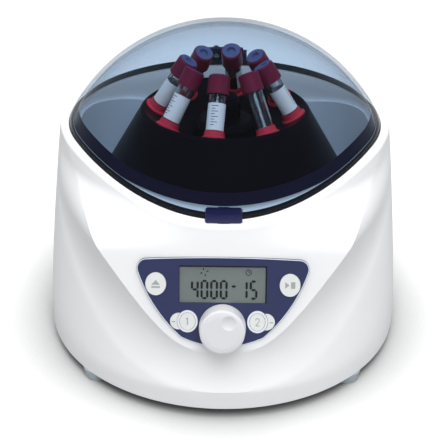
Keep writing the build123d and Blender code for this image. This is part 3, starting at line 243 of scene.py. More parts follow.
def blocks(name, sizes):
    """Cutters: one mesh of plain boxes, each given by its low and high corners."""
    points, faces = [], []
    for x0, x1, y0, y1, z0, z1 in sizes:
        start = len(points)
        points += [(x, y, z) for z in (z0, z1) for x, y in ((x0, y0), (x1, y0), (x1, y1), (x0, y1))]
        for face in ((3, 2, 1, 0), (4, 5, 6, 7), (0, 1, 5, 4), (1, 2, 6, 5), (2, 3, 7, 6), (3, 0, 4, 7)):
            faces.append(tuple(start + corner for corner in face))
    return mesh_object(name, points, faces, smooth=False)


def plain_mesh(piece):
    """Keeps what a piece's modifiers make as its own plain mesh."""
    bpy.context.view_layer.update()
    whole = bpy.data.meshes.new_from_object(piece.evaluated_get(bpy.context.evaluated_depsgraph_get()))
    piece.modifiers.clear()
    piece.data = whole


def carve(piece, cutters, operation="DIFFERENCE"):
    """Cuts the cutters out of the piece, or joins them to it, for good and removes them."""
    for cutter in cutters:
        cut = piece.modifiers.new("cut", "BOOLEAN")
        cut.operation = operation
        cut.solver = "EXACT"
        cut.object = cutter
    plain_mesh(piece)
    for cutter in cutters:
        bpy.data.objects.remove(cutter)


def crisp(piece, degrees=32.0):
    """Smooth shading that stays sharp across edges steeper than the given angle."""
    piece.data.set_sharp_from_angle(angle=math.radians(degrees))


FACE_REF_Z = 85.0
FACE_ORIGIN = Vector((0.0, front_y(FACE_REF_Z), FACE_REF_Z))
FACE_UP = Vector((0.0, math.sin(FACE_LEAN), math.cos(FACE_LEAN)))
FACE_OUT = Vector((0.0, -math.cos(FACE_LEAN), math.sin(FACE_LEAN)))


def on_face(x, up, out):
    """Point of the leaning face from its distance right, up the slope and out of the face."""
    return tuple(FACE_ORIGIN + Vector((x, 0, 0)) + FACE_UP * up + FACE_OUT * out)


def face_prism(name, outline, low, high):
    """Closed prism on the leaning face between two distances out of it."""
    return prism(name, *([on_face(x, up, out) for x, up in outline] for out in (low, high)))


def panel_outline(grow):
    """Outline of the control panel's front, anticlockwise, moved out by grow."""
    work = bmesh.new()
    work.from_mesh(nodes["control_panel"].data)
    bmesh.ops.remove_doubles(work, verts=work.verts, dist=0.01 * MM)
    front = [face for face in work.faces if face.normal.dot(FACE_OUT) > 0.999
             and (face.calc_center_median() / MM - FACE_ORIGIN).dot(FACE_OUT) > 0.3]
    rims = {}
    for face in front:
        for corner in face.loops:
            if sum(other in front for other in corner.edge.link_faces) == 1:
                rims[corner.vert.index] = corner.link_loop_next.vert.index
    places = {vert.index: (vert.co.x / MM, (vert.co / MM - FACE_ORIGIN).dot(FACE_UP)) for vert in work.verts}
    work.free()
    walk = [max(rims, key=lambda index: places[index][0])]
    while rims[walk[-1]] != walk[0]:
        walk.append(rims[walk[-1]])
    line = [places[index] for index in walk]
    return [moved_out(line, index, grow) for index in range(len(line))]


def moved_out(line, index, grow):
    """One corner of an anticlockwise line, moved out square to its two sides."""
    here, before, after = (Vector(line[k % len(line)]) for k in (index, index - 1, index + 1))
    first, second = (here - before).normalized(), (after - here).normalized()
    out = Vector((first.y + second.y, -first.x - second.x)).normalized()
    return tuple(here + out * grow / max(out.dot(Vector((first.y, -first.x))), 0.5))


def linear(code):
    """sRGB hex colour as linear red, green, blue and alpha."""
    parts = [int(code[k:k + 2], 16) / 255 for k in (0, 2, 4)]
    return tuple(c / 12.92 if c < 0.04045 else ((c + 0.055) / 1.055) ** 2.4 for c in parts) + (1.0,)


def add(tree, kind, sockets=None, **settings):
    """Adds a node with its settings, and fills its sockets with values or with other nodes' outputs."""
    node = tree.nodes.new(kind)
    for key, value in settings.items():
        setattr(node, key, value)
    for key, value in (sockets or {}).items():
        if isinstance(value, bpy.types.NodeSocket):
            tree.links.new(value, node.inputs[key])
        else:
            node.inputs[key].default_value = value
    return node


GRAIN_DEPTH_MM = 0.05
MOTTLE_MM = 28.57


def finish(name, colour, mottle, roughness, grain_mm, bump, others=None):
    """A material: one Principled shader, a noise grain as bump and a faint mottle of a second colour.

    Most grains are drawn coarser than the real skin's.
    """
    material = bpy.data.materials.new(name)
    material.use_nodes = True
    tree = material.node_tree
    shader = tree.nodes["Principled BSDF"]
    place = add(tree, "ShaderNodeTexCoord").outputs["Object"]
    grain = add(tree, "ShaderNodeTexNoise", {"Vector": place, "Scale": 1 / (grain_mm * MM), "Detail": 2.0})
    relief = add(tree, "ShaderNodeBump", {"Height": grain.outputs["Fac"], "Strength": bump,
                                          "Distance": GRAIN_DEPTH_MM * MM})
    tree.links.new(relief.outputs["Normal"], shader.inputs["Normal"])
    shader.inputs["Base Color"].default_value = linear(colour)
    shader.inputs["Roughness"].default_value = roughness
    for key, value in (others or {}).items():
        shader.inputs[key].default_value = value
    if mottle:
        cloud = add(tree, "ShaderNodeTexNoise", {"Vector": place, "Scale": 1 / (MOTTLE_MM * MM),
                                                 "Detail": 3.0})
        mixed = add(tree, "ShaderNodeMix", {"Factor": cloud.outputs["Fac"], "A": linear(colour),
                                            "B": linear(mottle)}, data_type="RGBA")
        tree.links.new(mixed.outputs["Result"], shader.inputs["Base Color"])
    return material


def dress(names, material):
    """Gives CAD nodes their finish."""
    for name in names:
        for place in nodes[name].material_slots:
            place.material = material


columns = [shell_column(2 * math.pi * (k + 0.5) / SHELL_COLUMNS - math.pi) for k in range(SHELL_COLUMNS)]
shell_points = [point for column in columns for point in column]
shell = mesh_object("body_shell", shell_points, ring_faces(SHELL_COLUMNS, len(columns[0])))
outwards(shell)

# Rear recess of the shell: a box moulded inside the back wall, which keeps the inlet and the switch from
# standing out of the oval. Its wall is part of the same white moulding.
REACH = 200.0
RECESS_Y = BACK_Y - 7.0
RECESS_WALL = 4.0
RECESS_HALF = 42.0
RECESS_LOW_Z = 20.0
RECESS_HIGH_Z = 58.0
SKIN_OVERLAP = 1.6
wall_half = RECESS_HALF + RECESS_WALL
wall_z = (RECESS_LOW_Z - RECESS_WALL, RECESS_HIGH_Z + RECESS_WALL)
wall_line = [(-wall_half, RECESS_Y - RECESS_WALL), (wall_half, RECESS_Y - RECESS_WALL)]
for step in range(13):
    x = wall_half * (1 - step / 6)
    skin_y = BODY_CENTRE_Y + BODY_DEPTH / 2 * math.sqrt(1 - (x / half_width(wall_z[1])) ** 2)
    wall_line.append((x, skin_y - SKIN_OVERLAP))
carve(shell, [prism("recess_wall", *([(x, y, z) for x, y in wall_line] for z in wall_z))], "UNION")

# Openings of the shell: the panel's seat and bay, the tab's notch, the slot and pocket of the lid lock, the
# recess with its inlet and switch openings, and the vents. All are shut-offs of the same mould.
PANEL_GAP = 0.3
PANEL_SEAT = 1.6
PANEL_LEDGE = 0.6
PANEL_CUT_OUT = 20.0
BAY_DEPTH = 24.0
TAB_WIDTH = 25.0
TAB_FLOOR_Z = 135.65
TAB_BACK_Y = -97.04
TAB_GAP = 0.6
TAB_FLOOR_GAP = 0.3
LOCK_HALF_DEPTH = 5.5
LOCK_GAP = 0.4
LOCK_Y = ROTOR_Y - CHAMBER_RADIUS - FUNNEL_WALL - LOCK_HALF_DEPTH - LOCK_GAP
LOCK_POCKET_X = (7.6, 48.0)
LOCK_POCKET_Y = (LOCK_Y - LOCK_HALF_DEPTH - LOCK_GAP, LOCK_Y + LOCK_HALF_DEPTH + LOCK_GAP)
LOCK_POCKET_Z = 113.0
HOOK_SLOT_X = (-4.0, 4.0)
HOOK_SLOT_Y = (LOCK_Y - 7.25, LOCK_Y + 4.75)
HOOK_SLOT_LOW_Z = LOCK_POCKET_Z - 1.0
OPENING_Y = (RECESS_Y - 12.0, RECESS_Y + 1.0)
INLET_X = (-32.9, -5.1)
INLET_Z = (28.8, 49.2)
SWITCH_X = (14.3, 29.7)
SWITCH_Z = (28.3, 49.7)
VENT_COUNT = 11
VENT_PITCH = 8.0
VENT_WIDTH = 3.0
VENT_LOW_Z = 76.0
VENT_HIGH_Z = 112.0
VENT_INSIDE = 10.0
notch_half = TAB_WIDTH / 2 + TAB_GAP
vents = [(x - VENT_WIDTH / 2, x + VENT_WIDTH / 2, BACK_Y - VENT_INSIDE, REACH, VENT_LOW_Z, VENT_HIGH_Z)
         for x in (VENT_PITCH * (k - (VENT_COUNT - 1) / 2) for k in range(VENT_COUNT))]
carve(shell, [
    face_prism("panel_cutter", panel_outline(PANEL_GAP), -PANEL_SEAT, PANEL_CUT_OUT),
    face_prism("bay_cutter", panel_outline(-PANEL_LEDGE), -BAY_DEPTH, 0.0),
    blocks("notch_cutter", [(-notch_half, notch_half, -REACH, TAB_BACK_Y + TAB_GAP,
                             TAB_FLOOR_Z - TAB_FLOOR_GAP, REACH)]),
    blocks("slot_cutter", [(*HOOK_SLOT_X, *HOOK_SLOT_Y, HOOK_SLOT_LOW_Z, REACH)]),
    blocks("lock_cutter", [(*LOCK_POCKET_X, *LOCK_POCKET_Y, LOCK_POCKET_Z, LOCK_SHELF_Z)]),
    blocks("recess_cutter", [(-RECESS_HALF, RECESS_HALF, RECESS_Y, REACH, RECESS_LOW_Z, RECESS_HIGH_Z)]),
    blocks("service_cutter", [(*INLET_X, *OPENING_Y, *INLET_Z), (*SWITCH_X, *OPENING_Y, *SWITCH_Z)]),
    blocks("vent_cutter", vents),
])
crisp(shell)

# White ABS from a polished, finely spark-eroded mould: broad soft highlights, no grain seen from a step away.
abs_white = finish("moulded_white_abs", "F4F5F7", "EFF1F4", 0.34, 0.8, 0.12)
shell.data.materials.append(abs_white)
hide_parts("housing")
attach(shell, "base")

# Base tray of folded sheet steel in dull grey powder coat, which the lock's and the motor's casings share, and
# four screwed feet of soft clear rubber. They show only as a thin shadow line and two pale pads under the
# front. Screws and small steel parts are zinc plated, with a dull metal shine.
powder_coat = finish("grey_powder_coat", "6E7074", "64666A", 0.55, 0.5, 0.5)
clear_rubber = finish("clear_soft_rubber", "B9BDC2", "A9AEB4", 0.5, 1.5, 0.2, {"Subsurface Weight": 0.3})
plated_steel = finish("zinc_plated_steel", "B8BABD", "A6A8AC", 0.3, 0.3, 0.15, {"Metallic": 1.0})
dress(["base_tray", "lock_body", "motor_housing"], powder_coat)
dress(["rubber_feet"], clear_rubber)
dress(["foot_screws", "body_screws", "bowl_screws", "hinge_screws", "leaf_screws", "damper_screws",
       "board_screws", "motor_plate", "lock_bolt", "latch_hook", "hinge_pin"], plated_steel)

# Chamber bowl, thermoformed in white polypropylene with a smooth, faintly bluish skin and held by screws. The
# seal in its floor, the motor's dampers and the lid's seal are moulded in soft black rubber without shine.
bowl_plastic = finish("white_polypropylene", "EEF6FF", "E8F1FC", 0.3, 3.0, 0.08)
black_rubber = finish("black_rubber", "0C0C14", "101018", 0.45, 0.6, 0.12)
dress(["chamber_bowl"], bowl_plastic)
dress(["bowl_seal", "motor_dampers", "lid_seal"], black_rubber)

# Rotor bell in black glass-filled polymer with its hand nut, on a turned aluminium hub and a ground shaft.
# The polymer has almost no gloss, so it stays near black under the dome. The aluminium is bright with a fine
# tooth, and the motor's stator and armature are stacks of dull core steel.
rotor_polymer = finish("black_rotor_polymer", "07050D", "0A0812", 0.4, 0.6, 0.04,
                       {"Specular IOR Level": 0.15})
aluminium = finish("turned_aluminium", "D4D6D9", "C6C8CC", 0.28, 0.4, 0.2, {"Metallic": 1.0})
core_steel = finish("laminated_core_steel", "6A6A6E", "5A5A5E", 0.45, 0.5, 0.6, {"Metallic": 1.0})
dress(["rotor_bell", "rotor_nut"], rotor_polymer)
dress(["rotor_hub"], aluminium)
dress(["motor_shaft", "lower_bearing", "upper_bearing", "encoder_shaft"], plated_steel)
dress(["motor_stator", "motor_armature"], core_steel)

# Eight sample tubes: clear moulded barrels in red polymer sleeves, with dark red caps and grey-blue rubber
# stoppers. They stand at 32.5 degrees in the bell's pockets and turn with it. The sleeves and caps have the
# slight gloss of plain moulded polymer, and the barrels are as clear as glass.
sleeve_polymer = finish("red_sleeve_polymer", "D0384A", "BE2E42", 0.3, 1.0, 0.1)
cap_polymer = finish("red_cap_polymer", "7A1B38", "6C1836", 0.35, 1.0, 0.1)
stopper_rubber = finish("grey_blue_stopper_rubber", "565E86", "4C5480", 0.5, 0.8, 0.2)
tube_clear = finish("clear_tube_plastic", "F2F6FA", None, 0.04, 4.0, 0.02, {"Transmission Weight": 1.0,
                                                                            "IOR": 1.49})
dress(["tube_sleeves"], sleeve_polymer)
dress(["tube_caps"], cap_polymer)
dress(["cap_stoppers"], stopper_rubber)
dress(["sample_tubes"], tube_clear)

# Paper labels wrapped round all tubes but one and glued, with a plain graduated scale printed in dark grey.
# The paper is matt with a fine tooth. The scale is drawn coarser than a real one, so that it shows.
TUBE_COUNT = 8
BARE_TUBE = 1
FIRST_TUBE_ANGLE = -98.6
TUBE_TILT = 32.5
FLANGE_RING_RADIUS = 52.5
FLANGE_Z = 165.5
LABEL_RADIUS = 6.62
LABEL_THICK = 0.08
LABEL_LOW = 4.6
LABEL_HIGH = 24.6
LABEL_WRAP = math.radians(300)
LABEL_AROUND = 48
LABEL_ALONG = 40
TICK_EVERY = 4
TICK_START = 20
TICK_END = 24
LONG_TICK_END = 27
SCALE_START = 4
SCALE_END = 37


def is_tick(i, j):
    """Whether one face of the label carries print: every second mark of the scale is a long one."""
    end = LONG_TICK_END if j % (2 * TICK_EVERY) == TICK_EVERY - 1 else TICK_END
    return j % TICK_EVERY == TICK_EVERY - 1 and SCALE_START < j < SCALE_END and TICK_START <= i < end


def label_sheet(name):
    """One thin label wrapped round the Z axis of its tube, with its printed faces marked."""
    points, faces = [], []
    for radius in (LABEL_RADIUS, LABEL_RADIUS - LABEL_THICK):
        for i in range(LABEL_AROUND + 1):
            turn = LABEL_WRAP * (i / LABEL_AROUND - 0.5)
            for j in range(LABEL_ALONG + 1):
                z = LABEL_LOW + (LABEL_HIGH - LABEL_LOW) * j / LABEL_ALONG
                points.append((radius * math.cos(turn), radius * math.sin(turn), z))
    row = LABEL_ALONG + 1
    skip = (LABEL_AROUND + 1) * row
    printed = []
    for i in range(LABEL_AROUND):
        for j in range(LABEL_ALONG):
            a = i * row + j
            faces.append((a, a + row, a + row + 1, a + 1))
            faces.append((skip + a, skip + a + 1, skip + a + row + 1, skip + a + row))
            printed += [is_tick(i, j), False]
    for j in range(LABEL_ALONG):
        faces.append((j, j + 1, skip + j + 1, skip + j))
        a = LABEL_AROUND * row + j
        faces.append((skip + a, skip + a + 1, a + 1, a))
    for i in range(LABEL_AROUND):
        a = i * row
        faces.append((skip + a, skip + a + row, a + row, a))
        a += LABEL_ALONG
        faces.append((a, a + row, skip + a + row, skip + a))
    printed += [False] * (len(faces) - len(printed))
    label = mesh_object(name, points, faces)
    label.data.attributes.new("printed", "BOOLEAN", "FACE").data.foreach_set("value", printed)
    return label


def label_ring_tree(paper, ink):
    """Geometry nodes that stand one label at each tube of the rotor, but for the bare one."""
    tree = bpy.data.node_groups.new("label_ring", "GeometryNodeTree")
    for name, kind in (("Label", "Geometry"), ("Tubes", "Int"), ("Bare Tube", "Int"),
                       ("Ring Radius", "Float"), ("Tilt", "Float"), ("First Turn", "Float"),
                       ("Ring Centre", "Vector")):
        tree.interface.new_socket(name, in_out="INPUT", socket_type="NodeSocket" + kind)
    tree.interface.new_socket("Labels", in_out="OUTPUT", socket_type="NodeSocketGeometry")
    given = add(tree, "NodeGroupInput").outputs
    place = add(tree, "GeometryNodeInputIndex").outputs[0]
    step = add(tree, "ShaderNodeMath", {0: 2 * math.pi, 1: given["Tubes"]}, operation="DIVIDE")
    turn = add(tree, "ShaderNodeMath", {0: place, 1: step.outputs[0]}, operation="MULTIPLY")
    lean = add(tree, "ShaderNodeCombineXYZ", {"Y": given["Tilt"], "Z": turn.outputs[0]})
    stance = add(tree, "FunctionNodeEulerToRotation", {"Euler": lean.outputs[0]})
    labelled = add(tree, "FunctionNodeCompare", {2: place, 3: given["Bare Tube"]}, data_type="INT",
                   operation="NOT_EQUAL")
    ring = add(tree, "GeometryNodeMeshCircle", {"Vertices": given["Tubes"], "Radius": given["Ring Radius"]})
    stood = add(tree, "GeometryNodeInstanceOnPoints",
                {"Points": ring.outputs[0], "Selection": labelled.outputs[0], "Instance": given["Label"],
                 "Rotation": stance.outputs[0]})
    whole_turn = add(tree, "ShaderNodeCombineXYZ", {"Z": given["First Turn"]})
    moved = add(tree, "GeometryNodeTransform",
                {"Geometry": stood.outputs[0], "Translation": given["Ring Centre"],
                 "Rotation": whole_turn.outputs[0]})
    real = add(tree, "GeometryNodeRealizeInstances", {"Geometry": moved.outputs[0]})
    printed = add(tree, "GeometryNodeInputNamedAttribute", {"Name": "printed"}, data_type="BOOLEAN")
    papered = add(tree, "GeometryNodeSetMaterial", {"Geometry": real.outputs[0], "Material": paper})
    inked = add(tree, "GeometryNodeSetMaterial", {"Geometry": papered.outputs[0], "Material": ink,
                                                  "Selection": printed.outputs["Attribute"]})
    add(tree, "NodeGroupOutput", {"Labels": inked.outputs[0]})
    return tree


def grown(piece, tree, values):
    """Runs a geometry nodes tree on a piece with its inputs set by name, and keeps the plain mesh."""
    modifier = piece.modifiers.new("tree", "NODES")
    modifier.node_group = tree
    for item in tree.interface.items_tree:
        if item.in_out == "INPUT" and item.name in values:
            modifier[item.identifier] = values[item.name]
    plain_mesh(piece)


label_paper = finish("white_label_paper", "F6F4F2", "ECEAEA", 0.6, 0.5, 0.25)
label_ink = finish("dark_label_ink", "3A3A44", "30303A", 0.5, 0.5, 0.1)
labels = label_sheet("tube_labels")
grown(labels, label_ring_tree(label_paper, label_ink),
      {"Tubes": TUBE_COUNT, "Bare Tube": BARE_TUBE, "Ring Radius": FLANGE_RING_RADIUS * MM,
       "Tilt": -math.radians(TUBE_TILT), "First Turn": math.radians(FIRST_TUBE_ANGLE),
       "Ring Centre": (0.0, ROTOR_Y * MM, FLANGE_Z * MM)})
crisp(labels)
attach(labels, "rotor")

# Dome lid, blown and trimmed in clear acrylic with a blue-violet tint, 3 mm thick, with a polished round
# edge. It is hinged at the back and closes on the rim with a thin black seal.
DOME_RADIUS = 135.8
DOME_TOP_Z = 232.5
DOME_WALL = 3.0
DOME_COLUMNS = 288
DOME_ROWS = 64
DOME_INNER = DOME_RADIUS - DOME_WALL
DOME_CENTRE_Z = DOME_TOP_Z - DOME_RADIUS
EDGE_START_ANGLE = 0.007
EDGE_CORNER_ANGLE = 0.002
EDGE_CORNER = 0.25
EDGE_ROUND = 0.9


def dome_section(turn):
    """Half section of the dome at one turn: outside from the crown down to the edge, then back up inside."""
    def ball(radius, polar):
        out = radius * math.sin(polar)
        rise = radius * math.cos(polar)
        return (out * math.cos(turn), ROTOR_Y + out * math.sin(turn), DOME_CENTRE_Z + rise)

    def edge_polar(radius):
        polar = 1.2
        for step in range(40):
            x, y, z = ball(radius, polar)
            polar += (z - rim_z(y)) / radius * 0.7
        return polar

    outer, inner = edge_polar(DOME_RADIUS), edge_polar(DOME_INNER)
    section = [ball(DOME_RADIUS, (outer - EDGE_START_ANGLE) * (k + 1) / DOME_ROWS) for k in range(DOME_ROWS)]
    section += [ball(DOME_RADIUS - EDGE_CORNER, outer - EDGE_CORNER_ANGLE),
                ball(DOME_RADIUS - EDGE_ROUND, outer), ball(DOME_INNER + EDGE_ROUND, inner),
                ball(DOME_INNER + EDGE_CORNER, inner - EDGE_CORNER_ANGLE)]
    section += [ball(DOME_INNER, (inner - EDGE_START_ANGLE) * (DOME_ROWS - k) / DOME_ROWS)
                for k in range(DOME_ROWS)]
    return section


sections = [dome_section(2 * math.pi * k / DOME_COLUMNS) for k in range(DOME_COLUMNS)]
dome_points = [point for section in sections for point in section]
rows = len(sections[0])
dome_faces = ring_faces(DOME_COLUMNS, rows, closed_rows=False)
dome_points += [(0, ROTOR_Y, DOME_TOP_Z), (0, ROTOR_Y, DOME_TOP_Z - DOME_WALL)]
crown = len(dome_points) - 2
for k in range(DOME_COLUMNS):
    after = (k + 1) % DOME_COLUMNS
    dome_faces.append((crown, k * rows, after * rows))
    dome_faces.append((crown + 1, after * rows + rows - 1, k * rows + rows - 1))
dome = mesh_object("tinted_dome", dome_points, dome_faces)
outwards(dome)
crisp(dome, 50.0)


def clear_sheet(name, tint, roughness, mirror, edge_mirror=0.0):
    """A clear plastic that passes light with a tint, and mirrors a little or more towards its outline."""
    material = bpy.data.materials.new(name)
    material.use_nodes = True
    tree = material.node_tree
    tree.nodes.remove(tree.nodes["Principled BSDF"])
    if edge_mirror:
        facing = add(tree, "ShaderNodeLayerWeight", {"Blend": 0.5})
        steep = add(tree, "ShaderNodeMath", {0: facing.outputs["Facing"], 1: 5.0}, operation="POWER")
        mirror = add(tree, "ShaderNodeMath", {0: steep.outputs["Value"], 1: edge_mirror, 2: mirror},
                     operation="MULTIPLY_ADD").outputs["Value"]
    passing = add(tree, "ShaderNodeBsdfTransparent", {"Color": linear(tint)})
    gloss = add(tree, "ShaderNodeBsdfGlossy", {"Color": (1, 1, 1, 1), "Roughness": roughness})
    sheet = add(tree, "ShaderNodeMixShader", {"Fac": mirror, 1: passing.outputs["BSDF"],
                                              2: gloss.outputs["BSDF"]})
    tree.links.new(sheet.outputs["Shader"], tree.nodes["Material Output"].inputs["Surface"])
    return material


# Tinted acrylic: it passes most light with a blue cast and, like all clear plastic, mirrors more towards its
# outline.
acrylic = clear_sheet("tinted_clear_acrylic", "E7EEF5", 0.03, 0.012, 0.6)
dome.data.materials.append(acrylic)
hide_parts("lid_dome")
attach(dome, "lid")

# Dark indigo band on the inside of the dome's edge: painted shade, a dark sheet that darkens the view through
# the edge to the chamber's rim. It hides the seal, is widest at the front and leaves a clear crescent below it
# there. It has a dull sheen, and shows through the acrylic as one dark line.
BAND_GAP = 0.02
BAND_FOOT = 0.3
BAND_LOW = 4.2
BAND_TALL = 9.0
BAND_TALL_BACK = 3.6
BAND_THICK = 0.35
CRESCENT_START = 0.8
CRESCENT_CURVE = 1.2


def band_section(turn):
    """Four corners of the band's section at one turn round the dome."""
    front = max(-math.sin(turn), 0.0)
    low = BAND_FOOT + BAND_LOW * max((front - CRESCENT_START) / (1 - CRESCENT_START), 0.0) ** CRESCENT_CURVE
    high = BAND_TALL_BACK + (BAND_TALL - BAND_TALL_BACK) * smooth_step(front / 0.5 + 0.5) + low
    radius = DOME_INNER - BAND_GAP
    edge = dome_section(turn)[DOME_ROWS + 2]
    polar = math.asin(math.dist(edge, (0, ROTOR_Y, edge[2])) / (DOME_INNER + EDGE_ROUND))
    corners = []
    for depth, rise in ((0, low), (0, high), (BAND_THICK, high), (BAND_THICK, low)):
        angle = polar - rise / radius
        r = radius - depth
        corners.append((r * math.sin(angle) * math.cos(turn), ROTOR_Y + r * math.sin(angle) * math.sin(turn),
                        DOME_CENTRE_Z + r * math.cos(angle)))
    return corners


band_points = [point for k in range(DOME_COLUMNS) for point in band_section(2 * math.pi * k / DOME_COLUMNS)]
# Painted shade: the band's dark indigo colour.
band_painted_shade = finish("dark_indigo_painted_shade", "120E2C", "0F0C26", 0.35, 0.6, 0.05)
band = mesh_object("dome_edge_band", band_points, ring_faces(DOME_COLUMNS, 4), [band_painted_shade])
outwards(band)
crisp(band)
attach(band, "lid")

# Finger tab, hinge leaf and hinge bracket, moulded in indigo ABS with a soft gloss. The tab stands at the
# dome's front edge, and the leaf and the bracket carry the lid at the back on a steel pin.
indigo_abs = finish("indigo_abs", "24234F", "1E1D46", 0.3, 0.8, 0.12)
dress(["latch_tab", "hinge_leaf", "hinge_bracket"], indigo_abs)

# Control panel: a dark indigo polycarbonate plate, set in its seat in the leaning face, with a thin bevel ring
# round its edge whose pale blue colour is a painted highlight. The plate is satin and shows broad dull
# highlights, and the bevel shows as one bright line.
BEVEL_OUTSIDE = 0.2
BEVEL_INSIDE = 0.36
BEVEL_FOOT = 0.61
BEVEL_EDGE = 0.7
BEVEL_TOP = 0.75
panel_plastic = finish("indigo_polycarbonate", "343A60", "30365A", 0.42, 0.7, 0.15)
dress(["control_panel"], panel_plastic)
# Painted highlight: the bevel ring's pale blue colour.
bevel_painted_highlight = finish("pale_blue_bevel_highlight", "E6ECF6", "E0E7F3", 0.3, 0.8, 0.1)
bevel_points = []
for outer, inner in zip(panel_outline(BEVEL_OUTSIDE), panel_outline(-BEVEL_INSIDE)):
    bevel_points += [on_face(*outer, BEVEL_FOOT), on_face(*inner, BEVEL_FOOT), on_face(*inner, BEVEL_TOP),
                     on_face(*outer, BEVEL_EDGE)]
bevel = mesh_object("panel_bevel", bevel_points, ring_faces(len(bevel_points) // 4, 4), [bevel_painted_highlight])
outwards(bevel)
crisp(bevel)
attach(bevel, "base")

# Display: a reflective cell of grey-green glass behind a clear moulded window that is flush with the panel.
# The glass has a dull sheen, and the window passes nearly all light and adds a faint mirror.
lcd_glass = finish("grey_green_display", "959B9A", "8F9594", 0.35, 2.0, 0.02)
dress(["lcd_module"], lcd_glass)
window_clear = clear_sheet("clear_window_plastic", "F4F6F6", 0.05, 0.04)
dress(["display_window"], window_clear)

# Black segments in the display's glass. They show a plain speed and a plain time, with two small signs above
# them, a wheel and a clock. Thin black strips along the window's top and sides are painted shade of the
# window's recess, widest at the top.
DIGIT_WIDTH = 3.9
DIGIT_HEIGHT = 12.2
DIGIT_UP = 7.9
DASH_RISE = 2.4
SEGMENT = 1.6
SEGMENT_GAP = 0.25
SEGMENT_OUT = -1.6
SEGMENT_THICK = 0.05
SIGN_UP = 20.3
WHEEL_X = -12.9
WHEEL_START = 0.3
BLADE_LOW = 1.3
BLADE_HIGH = 3.1
BLADE_WIDTH = 0.8
CLOCK_X = 17.8
CLOCK_RADIUS = 1.7
CLOCK_RING = 0.45
HOUR_HAND = 1.2
MINUTE_HAND = 1.5
HAND_WIDTH = 0.4
WINDOW_SHADE_HALF = 30.5
WINDOW_SHADE_LOW = -1.3
WINDOW_SHADE_HIGH = 23.9
WINDOW_SHADE_TOP = 1.4
WINDOW_SHADE_RIGHT = 0.9
WINDOW_SHADE_LEFT = 0.3
SHOWN = (("4", -19.5), ("0", -12.8), ("0", -6.1), ("0", 0.6), ("-", 7.6), ("1", 14.6), ("5", 21.4))
LIT = {"0": "abcdef", "1": "bc", "4": "fgbc", "5": "afgcd", "-": "g"}
# The same black also paints the shade of the window's recess.
segment_ink_and_shade = finish("black_segments_and_painted_shade", "08090B", "0C0D10", 0.5, 1.0, 0.05)


def bar(x0, y0, x1, y1, width=SEGMENT):
    """Corners of a bar with pointed ends between two points."""
    run = math.dist((x0, y0), (x1, y1))
    ax, ay = (x1 - x0) / run, (y1 - y0) / run
    half = width / 2
    return [(x0, y0), (x0 + (ax - ay) * half, y0 + (ay + ax) * half),
            (x1 - (ax + ay) * half, y1 - (ay - ax) * half), (x1, y1),
            (x1 - (ax - ay) * half, y1 - (ay + ax) * half), (x0 + (ax + ay) * half, y0 + (ay - ax) * half)]


def strip(x0, x1, y0, y1):
    """Corners of a plain strip."""
    return [(x0, y0), (x1, y0), (x1, y1), (x0, y1)]


def digit_bars(sign, x, up):
    """Bars of the lit segments of one digit or dash."""
    w, h = DIGIT_WIDTH / 2, DIGIT_HEIGHT / 2
    ends = {"a": (-w, h, w, h), "b": (w, h, w, 0), "c": (w, 0, w, -h), "d": (-w, -h, w, -h),
            "e": (-w, 0, -w, -h), "f": (-w, h, -w, 0), "g": (-w, 0, w, 0)}
    bars = []
    up = up + DASH_RISE if sign == "-" else up
    for name in LIT[sign]:
        x0, y0, x1, y1 = ends[name]
        run = math.dist((x0, y0), (x1, y1))
        ax, ay = (x1 - x0) / run * SEGMENT_GAP, (y1 - y0) / run * SEGMENT_GAP
        bars.append([(x + px, up + py) for px, py in bar(x0 + ax, y0 + ay, x1 - ax, y1 - ay)])
    return bars


def ring_marks(x, up, radius, width, start=0.0, end=2 * math.pi, count=20):
    """A ring, or part of one, as a row of short pieces."""
    marks = []
    for k in range(count):
        a, b = start + (end - start) * k / count, start + (end - start) * (k + 1) / count
        marks.append([(x + r * math.cos(t), up + r * math.sin(t))
                      for r, t in ((radius, a), (radius + width, a), (radius + width, b), (radius, b))])
    return marks


def face_marks(name, outlines, low, high, material, body):
    """Flat marks on the leaning face as one piece of thin prisms."""
    points, faces = [], []
    for outline in outlines:
        start, count = len(points), len(outline)
        points += [on_face(x, up, out) for out in (low, high) for x, up in outline]
        faces.append(tuple(reversed(range(start, start + count))))
        faces.append(tuple(range(start + count, start + 2 * count)))
        faces += [(start + k, start + (k + 1) % count, start + count + (k + 1) % count, start + count + k)
                  for k in range(count)]
    piece = mesh_object(name, points, faces, [material], smooth=False)
    outwards(piece)
    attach(piece, body)


shown_bars = [outline for sign, x in SHOWN for outline in digit_bars(sign, x, DIGIT_UP)]
for blade in range(4):
    a = math.pi / 2 * blade + WHEEL_START
    shown_bars.append(bar(WHEEL_X + BLADE_LOW * math.cos(a), SIGN_UP + BLADE_LOW * math.sin(a),
                          WHEEL_X + BLADE_HIGH * math.cos(a), SIGN_UP + BLADE_HIGH * math.sin(a),
                          BLADE_WIDTH))
shown_bars += ring_marks(CLOCK_X, SIGN_UP, CLOCK_RADIUS, CLOCK_RING)
shown_bars += [bar(CLOCK_X, SIGN_UP, CLOCK_X, SIGN_UP + MINUTE_HAND, HAND_WIDTH),
               bar(CLOCK_X, SIGN_UP, CLOCK_X + HOUR_HAND, SIGN_UP, HAND_WIDTH)]
# Painted shade: black strips along the window's top and sides, standing for the shade of its recess.
shown_bars += [strip(-WINDOW_SHADE_HALF, WINDOW_SHADE_HALF, WINDOW_SHADE_HIGH, WINDOW_SHADE_HIGH + WINDOW_SHADE_TOP),
               strip(WINDOW_SHADE_HALF - WINDOW_SHADE_RIGHT, WINDOW_SHADE_HALF, WINDOW_SHADE_LOW, WINDOW_SHADE_HIGH),
               strip(-WINDOW_SHADE_HALF, -WINDOW_SHADE_HALF + WINDOW_SHADE_LEFT, WINDOW_SHADE_LOW, WINDOW_SHADE_HIGH)]
face_marks("display_segments_and_shade", shown_bars, SEGMENT_OUT, SEGMENT_OUT + SEGMENT_THICK, segment_ink_and_shade, "base")

